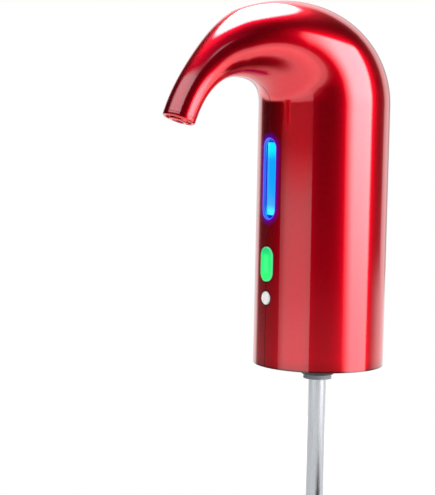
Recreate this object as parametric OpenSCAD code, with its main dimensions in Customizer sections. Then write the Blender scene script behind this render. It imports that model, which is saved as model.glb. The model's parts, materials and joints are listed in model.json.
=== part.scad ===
// Electric wine aerator: a cane-shaped dispenser head that stands on a bottle's neck.
// Millimetres, +Z up, spout towards -X, split plane of the shells at Y = 0.
// The origin lies on the body's axis, in the plane of the bottom rim.

/* [Body] */
// Outer diameter of the round body
body_d = 60; // [56:1:68]
// Wall of the two shells
wall = 2; // [1.6:0.1:2.4]
// Height at which the arch starts
arch_z = 119.2; // [116:0.4:132]

/* [Spout] */
// Reach of the crook in front of the body
crook_reach = 19.1; // [17:0.1:23]
// Rise of the crook above the start of the arch
crook_rise = 11.3; // [9:0.1:14]
// Reach of the falling stretch past the crook
fall_reach = 24.6; // [22:0.1:28]
// Height of the falling stretch's ellipse
fall_drop = 41.5; // [36:0.5:48]
// Turn of the section from the body to the shells' end
end_angle = 160; // [154:1:164]
// Outer diameter of the spout's tip
tip_d = 14.8; // [14.4:0.2:18]
// How fast the arch thins towards the tip
taper = 1.26; // [1.14:0.02:1.36]
// Length of the end ring past the shells
end_ring_h = 2.2; // [1.6:0.1:4]
// Outer diameter of the nozzle
nozzle_d = 8.4; // [8:0.1:9]
// Diameter of the outlet
outlet_d = 5; // [3:0.1:6]

/* [Front] */
// Height of the light window's centre
window_z = 85.5; // [78:0.5:92]
// Width of the light window
window_w = 10; // [8:0.5:11]
// Length of the light window
window_h = 37; // [28:1:42]
// Depth of the light window's floor below the surface
window_depth = 2; // [1.2:0.1:2.2]
// Height of the power button's centre
power_z = 47; // [45:0.5:52]
// Width of the power button's opening
power_w = 9; // [8:0.2:10]
// Length of the power button's opening
power_h = 16; // [13:0.5:18]
// Height of the mode button's centre
mode_z = 31.6; // [29:0.2:33]
// Diameter of the mode button's opening
mode_d = 6.4; // [5.6:0.2:7]
// Travel of both buttons
press_travel = 0.8; // [0.4:0.1:0.9]

/* [Bottle socket] */
// Diameter of the socket that takes the bottle's lip
socket_d = 33; // [32:0.5:35]
// Depth of the socket from the bottom rim
socket_depth = 20; // [18:0.5:21]
// Diameter of the stopper's sealing lands
stopper_d = 18.5; // [18.2:0.1:19.5]
// Outer diameter of the upper dip tube
tube_d = 8; // [7.6:0.1:8.4]
// Length of each dip tube section
tube_len = 98; // [80:1:110]
// Overlap that stays when a section is drawn out
tube_overlap = 20; // [16:1:30]

/* [Inside] */
// Diameter of the cell
cell_d = 18.2; // [17:0.2:18.4]
// Length of the cell
cell_len = 65; // [62:0.5:67]
// Outer diameter of the wine hose
hose_d = 6; // [5:0.1:6.2]
// Outer diameter of the air hose
air_d = 4.2; // [3.8:0.1:4.4]
// Width of the control board
board_w = 34; // [30:1:35]

/* [Clearances] */
// Between the shells and what sits in them
fit_gap = 0.25; // [0.2:0.05:0.35]
// Around the buttons in their openings
button_gap = 0.2; // [0.15:0.05:0.3]
// Between the pump and the shells
room_gap = 0.7; // [0.5:0.1:0.8]
// Between round pieces that are pressed together
press_gap = 0.02; // [0.01:0.01:0.04]
// Between round pieces that turn or slide in each other
slide_gap = 0.1; // [0.06:0.02:0.12]

/* [Hidden] */
$fn = 48;
eps = 0.01;
body_r = body_d / 2;
inner_r = body_r - wall;
skin_sides = 24;
core_r = inner_r * cos(90 / skin_sides) - fit_gap;

// Arch
tip_r = tip_d / 2;
rear_steps = 14;
fall_steps = 10;
tip_c = section_c(end_angle);

// Base and stopper
base_z = 1.2;
base_t = 3.2;
cup_t = 2;
socket_r = socket_d / 2;
ceil_t = 2.5;
ceil_z = socket_depth + ceil_t;
spigot_r = 6.2;
boss_r = 3.2;
boss_off = 4;
boss_d = socket_r + cup_t + boss_off;
boss_h = 9.5;
boss_angles = [60, 120];
screw_r = 1.1;
head_r = 2.3;
head_h = 1.5;
land_r = stopper_d / 2;
land_h = 2;
lands = 3;
groove_r = land_r - 0.8;
root_r = land_r + 0.4;
gasket_t = 1.5;
root_h = 1.5;
land_pitch = (socket_depth - gasket_t - root_h - 1 - land_h / 2) / lands;
stopper_end = 5;
lip_h = 2;
seat_r = 11;
seat_h = 3;
air_r0 = (spigot_r + 0.05 + groove_r) / 2;
air_pos = [0, -air_r0];

// Dip tube
tube_wall = 0.4;
tube_r0 = tube_d / 2;
tube_r1 = tube_r0 - tube_wall - slide_gap;
tube_r2 = tube_r1 - tube_wall - slide_gap;
tube_top = 13.5;
collar_h = 4;
crimp_h = 3;
crimp_gap = 0.03;
foot_h = 6;
tube_z0 = tube_top - tube_len;
tube_z1 = tube_z0 - collar_h;
tube_z2 = tube_z1 - collar_h - foot_h;
tube_travel = tube_len - tube_overlap;

// Carrier
deck_z = ceil_z + boss_h;
deck_t = 2;
deck_top = deck_z + deck_t;
post_r = 3;
post_d = core_r - post_r - 2;
post_angles = [45, -45, -90];
cell_r = cell_d / 2;
sleeve_t = 0.2;
tab_t = 0.3;
cell_z = deck_top + tab_t;
cell_pos = (core_r - cell_r - sleeve_t - 2) * [cos(108), sin(108)];
bracket_z = cell_z + cell_len + tab_t + 0.2;
bracket_t = 2;
holder_gap = 0.2;
holder_t = 1.2;
holder_h = 6;
holder_lip = 4;
holder_r = cell_r + sleeve_t + holder_gap;
frame_bite = 4;

// Board, buttons and window, as distances from the axis towards the front
board_t = 1.6;
board_f = inner_r - 9;
board_b = board_f - board_t;
switch_h = 3.5;
plunger_out = press_travel + 0.3;
plunger_r = 1.7;
press_f = board_f + switch_h + plunger_out;
flange_f = inner_r - 1.1;
flange_t = 1.2;
proud = 0.6;
window_rim = 0.4;
window_seat = sqrt(pow(inner_r, 2) - pow(window_w / 2 + 1, 2)) - 0.15;
window_back = window_seat - 1;
board_lug_y = 8;
board_lug_z = deck_top + 3;

// Charging socket
usb_w = 9;
usb_t = 3.2;
usb_depth = 7.4;
usb_board_t = 1.2;
usb_z = ceil_z + usb_board_t + usb_t / 2;
usb_f = body_r - 0.7;

// Motor and pump
pump_r = (core_r - hose_d / 2 - room_gap - 2) / 2;
motor_r = pump_r - 0.8;
motor_t = 0.6;
pump_x = core_r - pump_r - room_gap;
shaft_r = 1;
motor_h = 28;
motor_z = deck_top + motor_h;
bush_r = 2.5;
bush_seat = 1.5;
bell_h = 4;
bell_lip = 1;
core_h = 14;
core_z = deck_top + 9;
magnet_h = core_h + 2;
magnet_t = 1.85;
air_slit = 0.5;
case_z = motor_z;
case_t = 2;
case_h = 15;
diaphragm_z = case_z + case_h;
diaphragm_t = 1;
valve_z = diaphragm_z + diaphragm_t;
valve_t = 2;
cap_z = valve_z + valve_t;
cap_h = 6;
cap_top = cap_z + cap_h;
pump_screw_d = pump_r - 1.9;
peg_d = pump_r * 0.53;
pin_r = 0.7;
pin_low = [2.6, case_z + 5];
pin_high = [1, case_z + 13.5];
hub_r = 4.4;
hub_z = 3;
hub_h = 5.4;
swing_z = case_z + hub_z + hub_h + 1;
swing_h = 4.9;
pump_screw_r = 0.8;
peg_r = 1.1;
cup_r = 2.4;

// Hoses
hose_r = hose_d / 2;
hose_bore = hose_r - 1;
hose_sides = 12;
air_r = air_d / 2;
air_bore = air_r - 0.85;
barb_h = 7;
air_way = 0.7;
hose_lift = 3.5;
hose_gap = 0.5;
valve_low = deck_top + 22;
valve_h = 12;
valve_r = 3.2;
valve_floor = 3;
valve_room_r = 2.2;
valve_room_h = 5;
flap_t = 0.8;
bend_z = bracket_z + bracket_t + 0.5;
bend_r = norm([pump_x, 0] - air_pos) / 2;
bend_turn = atan2(air_r0, pump_x);
nozzle_r = nozzle_d / 2;
nozzle_in = 6;
hose_seat = 3;
wire_r = 0.6;
wire_y = hose_r + 1.4;

// Curve of the arch

// Inner rail of the arch where its normal has turned by a: up the crook, then down the falling stretch
function crook(t) = [-body_r - crook_reach * (1 - cos(t)), arch_z + crook_rise * sin(t)];
function fall(t) = [
  -body_r - crook_reach + fall_reach * cos(t),
  arch_z + crook_rise - fall_drop * (1 - sin(t))
];
function rail(a) = a <= 90
  ? crook(atan2(crook_rise * sin(a), crook_reach * cos(a)))
  : fall(atan2(fall_drop * sin(a), fall_reach * cos(a)));

// Outward normal, radius and centre of the arch's section there
function rail_normal(a) = [cos(a), sin(a)];
function section_r(a) = tip_r + (body_r - tip_r) * pow(max(0, (1 + cos(180 * a / end_angle)) / 2), taper);
function section_c(a) = rail(a) + rail_normal(a) * section_r(a);

// Stations of the whole skin: centre, normal and radius
arch_turns = concat(
  [for (i = [0 : rear_steps]) 90 * i / rear_steps],
  [for (i = [1 : fall_steps]) 90 + (end_angle - 90) * i / fall_steps]
);
skin_stations = concat(
  [[[0, 0], [1, 0], body_r]],
  [for (a = arch_turns) [section_c(a), rail_normal(a), section_r(a)]]
);

// Point on a section's ring, q counted from the outer rail
function ring_point(s, r, q) = [
  s[0][0] + r * cos(q) * s[1][0],
  r * sin(q),
  s[0][1] + r * cos(q) * s[1][1]
];

// Shared shapes

// Round-ended slot, long side along X
module slot(w, h) {
  square([h - w, w], center = true);
  for (s = [-1, 1]) translate([s * (h - w) / 2, 0]) circle(d = w);
}

// Places children at a height, with their Z pointing out of the front and their X up
module front(z) {
  translate([0, 0, z]) rotate([0, -90, 0]) children();
}

// Slot bar between two distances from the axis
module slot_bar(z, w, h, a, b) {
  front(z) translate([0, 0, a]) linear_extrude(b - a) slot(w, h);
}

// Places children at the shells' end, with their Z pointing out of the spout
module at_tip() {
  translate([tip_c[0], 0, tip_c[1]]) rotate([0, -end_angle, 0]) children();
}

// Ring or tube standing on z
module tube(z, h, ro, ri) {
  translate([0, 0, z]) difference() {
    cylinder(r = ro, h = h);
    translate([0, 0, -1]) cylinder(r = ri, h = h + 2);
  }
}

// Screw with its head's underside at z = 0 and its shank downwards
module screw(shank_r, len, hr, hh) {
  difference() {
    union() {
      cylinder(r = hr, h = hh);
      translate([0, 0, -len]) cylinder(r = shank_r, h = len + eps);
    }
    for (a = [0, 90]) rotate([0, 0, a]) translate([0, 0, hh]) cube([hr * 1.2, 0.5, hh], center = true);
  }
}

// Children at each screw boss of one side
module at_bosses(sides) {
  for (s = sides) for (a = boss_angles) rotate([0, 0, s * a]) translate([boss_d, 0, 0]) children();
}

module at_posts() {
  for (a = post_angles) rotate([0, 0, a]) translate([post_d, 0, 0]) children();
}

module at_pump() {
  translate([pump_x, 0, 0]) children();
}

module at_cell() {
  translate([cell_pos[0], cell_pos[1], 0]) children();
}

module at_air() {
  translate([air_pos[0], air_pos[1], 0]) children();
}

// Shells

// Half of the skin on the +Y side: an outer and an inner half ring at each station
module half_skin() {
  n = skin_sides;
  m = 2 * (n + 1);
  pts = [for (s = skin_stations) each concat(
    [for (j = [0 : n]) ring_point(s, s[2], 180 * j / n)],
    [for (j = [n : -1 : 0]) ring_point(s, s[2] - wall, 180 * j / n)]
  )];
  last = (len(skin_stations) - 1) * m;
  sides = [for (i = [0 : len(skin_stations) - 2]) for (k = [0 : m - 1])
    let (a = i * m + k, b = i * m + (k + 1) % m)
    each [[a, b + m, b], [a, a + m, b + m]]];
  caps = [for (j = [0 : n - 1])
    let (a = j, b = j + 1, c = m - 2 - j, d = m - 1 - j)
    each [[a, b, c], [a, c, d], [last + a, last + c, last + b], [last + a, last + d, last + c]]];
  polyhedron(points = pts, faces = concat(sides, caps));
}

module shell_half() {
  difference() {
    union() {
      half_skin();
      at_bosses([1]) {
        translate([0, 0, ceil_z]) cylinder(r = boss_r, h = boss_h);
        translate([boss_r / 2, -1, ceil_z]) cube([inner_r + wall / 2 - boss_d - boss_r / 2, 2, boss_h]);
      }
    }
    slot_bar(window_z, window_w, window_h, body_r * 0.8, body_r + 2);
    slot_bar(power_z, power_w, power_h, body_r * 0.8, body_r + 2);
    front(mode_z) translate([0, 0, body_r * 0.8]) cylinder(d = mode_d, h = body_r);
    translate([inner_r - 2, 0, usb_z]) rotate([90, 0, 90]) linear_extrude(wall + 4)
      slot(usb_t + 0.7, usb_w + 0.7);
    at_bosses([1]) translate([0, 0, ceil_z - 1]) cylinder(r = screw_r + press_gap, h = boss_h + 2);
  }
}

module left_shell() {
  color([0.62, 0.03, 0.06]) mirror([0, 1, 0]) shell_half();
}

module right_shell() {
  color([0.62, 0.03, 0.06]) shell_half();
}

// Front fittings

// Tray-shaped window: a rim flush with the body, a sunk floor and a flange behind the shells
module light_window() {
  w = window_w - 2 * window_rim;
  h = window_h - 2 * window_rim;
  color([0.1, 0.45, 0.95]) {
    difference() {
      union() {
        intersection() {
          slot_bar(window_z, window_w - 0.1, window_h - 0.1, window_back, body_r + 2);
          translate([0, 0, window_z - window_h]) cylinder(r = body_r - 0.1, h = 2 * window_h, $fn = 96);
        }
        slot_bar(window_z, window_w + 2, window_h + 2, window_back, window_seat);
      }
      slot_bar(window_z, w, h, body_r - window_depth, body_r + 2);
    }
  }
}

module power_button() {
  w = power_w - 2 * button_gap;
  h = power_h - 2 * button_gap;
  color([0.1, 0.85, 0.45]) {
    intersection() {
      slot_bar(power_z, w, h, flange_f - flange_t, body_r + 2);
      translate([0, 0, power_z - power_h]) cylinder(r = body_r + proud, h = 2 * power_h, $fn = 96);
    }
    slot_bar(power_z, w + 2, h + 2, flange_f - flange_t, flange_f);
    front(power_z) translate([0, 0, press_f]) cylinder(r = 2, h = flange_f - flange_t - press_f + 0.5);
  }
}

module mode_button() {
  r = mode_d / 2 - button_gap;
  color([0.92, 0.92, 0.9]) front(mode_z) {
    difference() {
      translate([0, 0, press_f]) rotate_extrude() polygon([
        [0, 0],
        [2, 0],
        [2, flange_f - flange_t - press_f],
        [r + 1, flange_f - flange_t - press_f],
        [r + 1, flange_f - press_f],
        [r, flange_f - press_f],
        [r, body_r + proud - 0.4 - press_f],
        [r - 0.4, body_r + proud - press_f],
        [0, body_r + proud - press_f]
      ]);
      translate([0, 0, body_r + proud + 6]) sphere(r = 6.4);
    }
  }
}

// Spout end

module spout_ring() {
  ro = tip_r * cos(90 / skin_sides);
  rs = tip_r - wall - 0.3;
  color([0.7, 0.05, 0.08]) at_tip() rotate_extrude() polygon([
    [nozzle_r + press_gap, -4],
    [rs, -4],
    [rs, 0],
    [ro, 0],
    [ro, end_ring_h - 0.7],
    [ro - 0.2, end_ring_h - 0.2],
    [ro - 0.7, end_ring_h],
    [nozzle_r + 0.6, end_ring_h],
    [nozzle_r + press_gap, end_ring_h - 0.6]
  ]);
}

module aerator_nozzle() {
  or = outlet_d / 2;
  color([0.78, 0.79, 0.8]) at_tip() rotate_extrude() polygon([
    [hose_r + 0.25, -nozzle_in],
    [nozzle_r, -nozzle_in],
    [nozzle_r, end_ring_h - 0.8],
    [nozzle_r - 0.5, end_ring_h - 0.8],
    [nozzle_r - 0.5, end_ring_h + 0.3],
    [nozzle_r - 0.8, end_ring_h + 0.6],
    [or + 0.3, end_ring_h + 0.6],
    [or, end_ring_h + 0.3],
    [or, 0],
    [hose_bore, -hose_seat + 0.6],
    [hose_bore, -hose_seat],
    [hose_r + 0.25, -hose_seat]
  ]);
}

// Base, stopper and dip tube

// Flat ring round the socket's mouth
module base_plate() {
  color([0.1, 0.1, 0.11]) difference() {
    rotate_extrude() polygon([
      [socket_r + 0.8, base_z],
      [core_r, base_z],
      [core_r, base_z + base_t],
      [socket_r, base_z + base_t],
      [socket_r, base_z + 0.8]
    ]);
    at_bosses([-1, 1]) {
      translate([0, 0, base_z - 1]) cylinder(r = screw_r + 0.3, h = base_t + 2);
      translate([0, 0, base_z - 1]) cylinder(r = head_r + 0.3, h = head_h + 0.3 + 1);
    }
  }
}

// Sleeves that carry the screws from the plate to the cup
module base_spacers() {
  color([0.16, 0.16, 0.18]) at_bosses([-1, 1])
    tube(base_z + base_t, socket_depth - base_z - base_t, head_r + 0.3, screw_r + 0.3);
}

// Socket for the bottle's lip, with a ceiling that carries the stopper and the inner pieces
module neck_cup() {
  color([0.13, 0.13, 0.14]) difference() {
    rotate_extrude() polygon([
      [socket_r, base_z + base_t],
      [socket_r + cup_t, base_z + base_t],
      [socket_r + cup_t, socket_depth],
      [core_r, socket_depth],
      [core_r, ceil_z],
      [spigot_r + 0.05, ceil_z],
      [spigot_r + 0.05, socket_depth],
      [socket_r, socket_depth]
    ]);
    at_bosses([-1, 1]) translate([0, 0, socket_depth - 1]) cylinder(r = screw_r + 0.3, h = ceil_t + 2);
    at_air() translate([0, 0, socket_depth - 1]) cylinder(r = 0.8, h = ceil_t + 2);
  }
}

module base_screws() {
  z = base_z + head_h + 0.3;
  color([0.7, 0.7, 0.72]) at_bosses([-1, 1])
    translate([0, 0, z]) rotate([180, 0, 0]) screw(screw_r, ceil_z + boss_h / 2 - z, head_r, head_h);
}

// Ring round the stopper's root that seals on the bottle's lip
module lip_gasket() {
  color([0.2, 0.2, 0.22]) tube(socket_depth - gasket_t, gasket_t, socket_r - 1.5, root_r + press_gap);
}

// Plug with sealing lands for the bottle's bore
module stopper() {
  root_z = socket_depth - gasket_t - root_h;
  color([0.2, 0.2, 0.22]) difference() {
    rotate_extrude() polygon(concat(
      [[spigot_r + 0.05, socket_depth], [spigot_r + 0.05, -stopper_end], [land_r - 1.6, -stopper_end]],
      [for (k = [0 : lands]) each [
        [land_r, k * land_pitch - land_h / 2],
        [land_r, k * land_pitch + land_h / 2],
        [groove_r, k * land_pitch + land_h / 2],
        [groove_r, k == lands ? root_z : (k + 1) * land_pitch - land_h / 2]
      ]],
      [[root_r, root_z], [root_r, socket_depth]]
    ));
    at_air() translate([0, 0, -stopper_end - 1]) cylinder(r = 0.8, h = socket_depth + stopper_end + 2);
  }
}

module bottle_adapter() {
  bottom = -stopper_end - lip_h;
  color([0.55, 0.57, 0.6]) difference() {
    union() {
      translate([0, 0, bottom]) cylinder(r = spigot_r, h = ceil_z - bottom + 1);
      translate([0, 0, bottom]) cylinder(r1 = spigot_r + 0.4, r2 = air_r0 - 1, h = lip_h);
      translate([0, 0, ceil_z]) cylinder(r = seat_r, h = seat_h);
      translate([0, 0, ceil_z + seat_h - 1]) cylinder(r = hose_bore - 0.03, h = 1 + barb_h);
      at_air() translate([0, 0, ceil_z + seat_h - 1]) cylinder(r = air_bore - press_gap, h = 1 + barb_h);
    }
    translate([0, 0, bottom - 1]) cylinder(r = tube_r0 + press_gap, h = tube_top + 0.5 - bottom + 1);
    translate([0, 0, -2]) cylinder(r = tube_r0 + 1.3, h = 1.6);
    cylinder(r = hose_bore - 0.8, h = ceil_z + 20);
    at_air() translate([0, 0, ceil_z - 1]) cylinder(r = air_way, h = barb_h + 10);
  }
}

module dip_seal() {
  sr = 0.62;
  color([0.12, 0.12, 0.12]) translate([0, 0, -1.2])
    rotate_extrude() translate([tube_r0 + 0.03 + sr, 0]) circle(r = sr);
}

module dip_tube_upper() {
  ri = tube_r0 - tube_wall;
  color([0.75, 0.76, 0.78]) rotate_extrude() polygon([
    [tube_r1 + crimp_gap, tube_z0],
    [tube_r0 - 0.15, tube_z0],
    [tube_r0, tube_z0 + 0.3],
    [tube_r0, tube_top],
    [ri, tube_top],
    [ri, tube_z0 + crimp_h + 0.3],
    [tube_r1 + crimp_gap, tube_z0 + crimp_h]
  ]);
}

// Sliding section: a flare at the top holds it in the tube above, a collar below is the grip
module dip_tube_middle() {
  ri = tube_r1 - tube_wall;
  top = tube_z1 + tube_len;
  color([0.75, 0.76, 0.78]) rotate_extrude() polygon([
    [tube_r2 + crimp_gap, tube_z1],
    [tube_r0 - 0.3, tube_z1],
    [tube_r0, tube_z1 + 0.3],
    [tube_r0, tube_z1 + collar_h - 0.3],
    [tube_r0 - 0.15, tube_z1 + collar_h],
    [tube_r1, tube_z1 + collar_h],
    [tube_r1, top - crimp_h],
    [tube_r0 - tube_wall - crimp_gap, top - crimp_h + 0.3],
    [tube_r0 - tube_wall - crimp_gap, top],
    [ri, top],
    [ri, tube_z1 + crimp_h + 0.3],
    [tube_r2 + crimp_gap, tube_z1 + crimp_h]
  ]);
}

module dip_tube_lower() {
  ri = tube_r2 - tube_wall;
  top = tube_z2 + tube_len;
  color([0.75, 0.76, 0.78]) difference() {
    rotate_extrude() polygon([
      [ri, tube_z2],
      [tube_r2, tube_z2],
      [tube_r2, tube_z2 + foot_h],
      [tube_r1, tube_z2 + foot_h + 0.3],
      [tube_r1, tube_z2 + foot_h + collar_h],
      [tube_r2, tube_z2 + foot_h + collar_h],
      [tube_r2, top - crimp_h],
      [tube_r1 - tube_wall - crimp_gap, top - crimp_h + 0.3],
      [tube_r1 - tube_wall - crimp_gap, top],
      [ri, top]
    ]);
    for (a = [0, 90]) rotate([0, 0, a]) translate([0, 0, tube_z2])
      rotate([90, 0, 0]) cylinder(r = 1.6, h = 20, center = true);
  }
}

// Carrier

module inner_frame() {
  color([0.16, 0.16, 0.18]) difference() {
    intersection() {
      union() {
        translate([0, 0, deck_z]) cylinder(r = core_r, h = deck_t);
        at_posts() translate([0, 0, deck_z]) cylinder(r = post_r, h = bracket_z - deck_z);
        at_pump() translate([0, 0, deck_z]) cylinder(r = motor_r + 1.7, h = deck_t + 5);
        at_cell() translate([0, 0, deck_z]) cylinder(r = holder_r + holder_t, h = deck_t + holder_h);
        for (s = [-1, 1])
          translate([-board_b + 0.2, s * board_lug_y - 2.5, deck_z]) cube([4, 5, deck_t + 6]);
      }
      cylinder(r = core_r, h = bracket_z);
    }
    at_pump() translate([0, 0, deck_top]) cylinder(r = motor_r + 0.15, h = 20);
    at_cell() translate([0, 0, deck_top]) cylinder(r = holder_r, h = 20);
    translate([-body_d, -body_r, deck_z - 1]) cube([body_d - board_b + 0.2, body_d, deck_t + 2]);
    translate([0, 0, deck_z - 1]) cylinder(r = hose_r + 0.6, h = 20);
    at_air() translate([0, 0, deck_z - 1]) cylinder(r = air_r + 0.4, h = 20);
    translate([0, -wire_y - 1, deck_top + 0.6]) cube([pump_x, 2, 10]);
    translate([-board_b - 1, cell_pos[1] - 2.8, deck_top]) cube([board_b + 1 + cell_pos[0], 5.6, 20]);
    at_bosses([-1]) translate([0, 0, deck_z - 1]) cylinder(r = screw_r + 0.3, h = deck_t + 2);
    at_posts() translate([0, 0, bracket_z - 8]) cylinder(r = screw_r + press_gap, h = 9);
    for (s = [-1, 1]) translate([0, s * board_lug_y, board_lug_z]) rotate([0, -90, 0])
      cylinder(r = screw_r - 0.2 + press_gap, h = body_d);
  }
}

module frame_screws() {
  color([0.7, 0.7, 0.72]) at_bosses([-1])
    translate([0, 0, deck_top]) screw(screw_r, deck_t + frame_bite, head_r - 0.2, head_h);
}

module top_bracket() {
  color([0.16, 0.16, 0.18]) difference() {
    union() {
      translate([0, 0, bracket_z]) cylinder(r = core_r, h = bracket_t);
      at_cell() tube(bracket_z - holder_lip, holder_lip + eps, holder_r + holder_t, holder_r);
    }
    translate([-board_f - 0.15, -board_w / 2 - 0.15, bracket_z - 5])
      cube([board_t + 0.3, board_w + 0.3, 10]);
    translate([-body_d, -window_w / 2 - 1.5, bracket_z - 5]) cube([body_d - board_f, window_w + 3, 10]);
    translate([-board_b - 1, cell_pos[1] - 2.8, bracket_z - 10]) cube([board_b + 1 + cell_pos[0], 5.6, 10]);
    translate([0, 0, bracket_z - 5]) cylinder(r = hose_r + 0.6, h = 10);
    at_air() translate([0, 0, bracket_z - 1]) cylinder(r = air_r + 0.4, h = bracket_t + 2);
    at_pump() translate([0, 0, bracket_z - 1]) cylinder(r = air_r + 0.4, h = bracket_t + 2);
    at_posts() translate([0, 0, bracket_z - 1]) cylinder(r = screw_r + 0.3, h = bracket_t + 2);
  }
}

module bracket_screws() {
  color([0.7, 0.7, 0.72]) at_posts()
    translate([0, 0, bracket_z + bracket_t]) screw(screw_r, bracket_t + 6, head_r, head_h);
}

// Board, switches and lamps

module control_board() {
  color([0.05, 0.3, 0.14]) difference() {
    translate([-board_f, -board_w / 2, ceil_z]) cube([board_t, board_w, bracket_z + bracket_t - ceil_z]);
    for (s = [-1, 1]) translate([0, s * board_lug_y, board_lug_z]) rotate([0, -90, 0])
      cylinder(r = screw_r, h = body_d);
  }
}

module board_screws() {
  color([0.7, 0.7, 0.72]) for (s = [-1, 1])
    translate([-board_f, s * board_lug_y, board_lug_z]) rotate([0, -90, 0])
      screw(screw_r - 0.2, board_t + 3.4, head_r - 0.4, 1.2);
}

module board_leds() {
  color([0.95, 0.95, 0.85]) {
    for (k = [-1, 0, 1]) front(window_z + k * window_h / 3.4)
      translate([-2.5, -2.5, board_f]) cube([5, 5, 1.6]);
    for (s = [-1, 1]) front(power_z) translate([-1, s * 5 - 0.8, board_f]) cube([2, 1.6, 0.8]);
  }
}

module board_chips() {
  y0 = -board_w * 0.33;
  color([0.06, 0.06, 0.07]) {
    translate([-board_b, y0, deck_top + cell_len * 0.4]) cube([1.2, 7, 7]);
    translate([-board_b, y0, deck_top + cell_len * 0.6]) cube([1.4, 5, 6]);
    translate([-board_b, y0, deck_top + cell_len * 0.22]) cube([2.2, 5, 5]);
  }
}

// Switch body with the bore for its plunger
module switch_body(z) {
  front(z) difference() {
    translate([-3, -3, board_f]) cube([6, 6, switch_h]);
    translate([0, 0, board_f + 1]) cylinder(r = plunger_r + slide_gap, h = switch_h);
  }
}

module plunger(z) {
  front(z) translate([0, 0, board_f + 2.4]) cylinder(r = plunger_r, h = press_f - board_f - 2.4);
}

module power_switch() {
  color([0.12, 0.12, 0.13]) switch_body(power_z);
}

module mode_switch() {
  color([0.12, 0.12, 0.13]) switch_body(mode_z);
}

module power_plunger() {
  color([0.85, 0.3, 0.1]) plunger(power_z);
}

module mode_plunger() {
  color([0.85, 0.3, 0.1]) plunger(mode_z);
}

module light_box() {
  color([0.93, 0.93, 0.93]) difference() {
    slot_bar(window_z, window_w + 2, window_h + 2, board_f, window_back);
    slot_bar(window_z, window_w, window_h, board_f - 1, window_back + 1);
  }
}

// Charging socket

module usb_board() {
  x0 = 13;
  color([0.05, 0.3, 0.14]) {
    translate([x0, -7, ceil_z]) cube([core_r - 0.9 - x0, 14, usb_board_t]);
    translate([x0, -wire_y - 1.5, ceil_z + usb_board_t - eps]) cube([4, 2 * wire_y + 3, 5]);
  }
}

module usb_port() {
  color([0.75, 0.75, 0.77]) translate([usb_f - usb_depth, 0, usb_z]) rotate([90, 0, 90]) difference() {
    linear_extrude(usb_depth) slot(usb_t, usb_w);
    translate([0, 0, 1]) linear_extrude(usb_depth) difference() {
      slot(usb_t - 0.6, usb_w - 0.6);
      square([usb_w - 2.4, 0.7], center = true);
    }
    translate([0, 0, usb_depth - 0.8]) linear_extrude(2) square([usb_w - 2.4, 0.8], center = true);
  }
}

module usb_leads() {
  color([0.7, 0.1, 0.1]) for (s = [-1, 1])
    translate([-board_b, s * wire_y, ceil_z + usb_board_t + 3.6]) rotate([0, 90, 0])
      cylinder(r = wire_r, h = board_b + 13);
}

// Cell

module battery() {
  color([0.75, 0.75, 0.77]) at_cell() translate([0, 0, cell_z]) cylinder(r = cell_r, h = cell_len);
}

module battery_sleeve() {
  color([0.1, 0.35, 0.7]) at_cell() tube(cell_z + 0.5, cell_len - 1, cell_r + sleeve_t, cell_r + press_gap);
}

module battery_tabs() {
  color([0.8, 0.8, 0.78]) for (z = [cell_z - tab_t, cell_z + cell_len])
    translate([-board_b, cell_pos[1] - 2.5, z]) cube([board_b + cell_pos[0] + 3, 5, tab_t]);
}

// Motor

module motor_can() {
  ri = motor_r - motor_t;
  color([0.72, 0.73, 0.75]) at_pump() rotate_extrude() polygon([
    [ri, deck_top + bell_lip],
    [motor_r, deck_top + bell_lip],
    [motor_r, motor_z - motor_t],
    [motor_r - motor_t, motor_z],
    [bush_r + 0.7, motor_z],
    [bush_r + 0.7, motor_z + bush_seat],
    [bush_r + press_gap, motor_z + bush_seat],
    [bush_r + press_gap, motor_z - motor_t],
    [ri, motor_z - motor_t]
  ]);
}

module motor_end_bell() {
  ri = motor_r - motor_t - press_gap;
  color([0.2, 0.2, 0.22]) at_pump() rotate_extrude() polygon([
    [0, deck_top],
    [motor_r, deck_top],
    [motor_r, deck_top + bell_lip],
    [ri, deck_top + bell_lip],
    [ri, deck_top + bell_h],
    [bush_r + press_gap, deck_top + bell_h],
    [bush_r + press_gap, deck_top + bush_seat],
    [0, deck_top + bush_seat]
  ]);
}

module motor_bushes() {
  color([0.72, 0.55, 0.25]) at_pump() {
    tube(deck_top + bush_seat, bell_h - bush_seat, bush_r, shaft_r + 0.03);
    tube(motor_z - motor_t, motor_t + bush_seat, bush_r, shaft_r + 0.03);
  }
}

module motor_magnets() {
  color([0.2, 0.2, 0.21]) at_pump() translate([0, 0, core_z - 1]) for (a = [0, 180])
    rotate([0, 0, a - 70]) rotate_extrude(angle = 140)
      translate([motor_r - motor_t - press_gap - magnet_t, 0]) square([magnet_t, magnet_h]);
}

module motor_leads() {
  x1 = pump_x - sqrt(pow(motor_r, 2) - pow(wire_y - wire_r, 2)) - 0.05;
  color([0.05, 0.05, 0.05]) for (z = [2, 4.4])
    translate([-board_b, -wire_y, deck_top + z]) rotate([0, 90, 0]) cylinder(r = wire_r, h = board_b + x1);
}

module motor_shaft() {
  z = deck_top + bush_seat + 0.2;
  top = case_z + hub_z + hub_h - 0.4;
  color([0.8, 0.8, 0.82]) at_pump() translate([0, 0, z]) cylinder(r = shaft_r, h = top - z);
}

// Three-pole core with its windings between the poles
module armature() {
  ro = motor_r - motor_t - magnet_t - air_slit;
  color([0.55, 0.3, 0.15]) at_pump() translate([0, 0, core_z]) difference() {
    cylinder(r = ro, h = core_h);
    for (a = [0, 120, 240]) rotate([0, 0, a]) translate([ro, 0, -1]) cylinder(r = ro * 0.3, h = core_h + 2);
    translate([0, 0, -1]) cylinder(r = shaft_r + press_gap, h = core_h + 2);
  }
}

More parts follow.
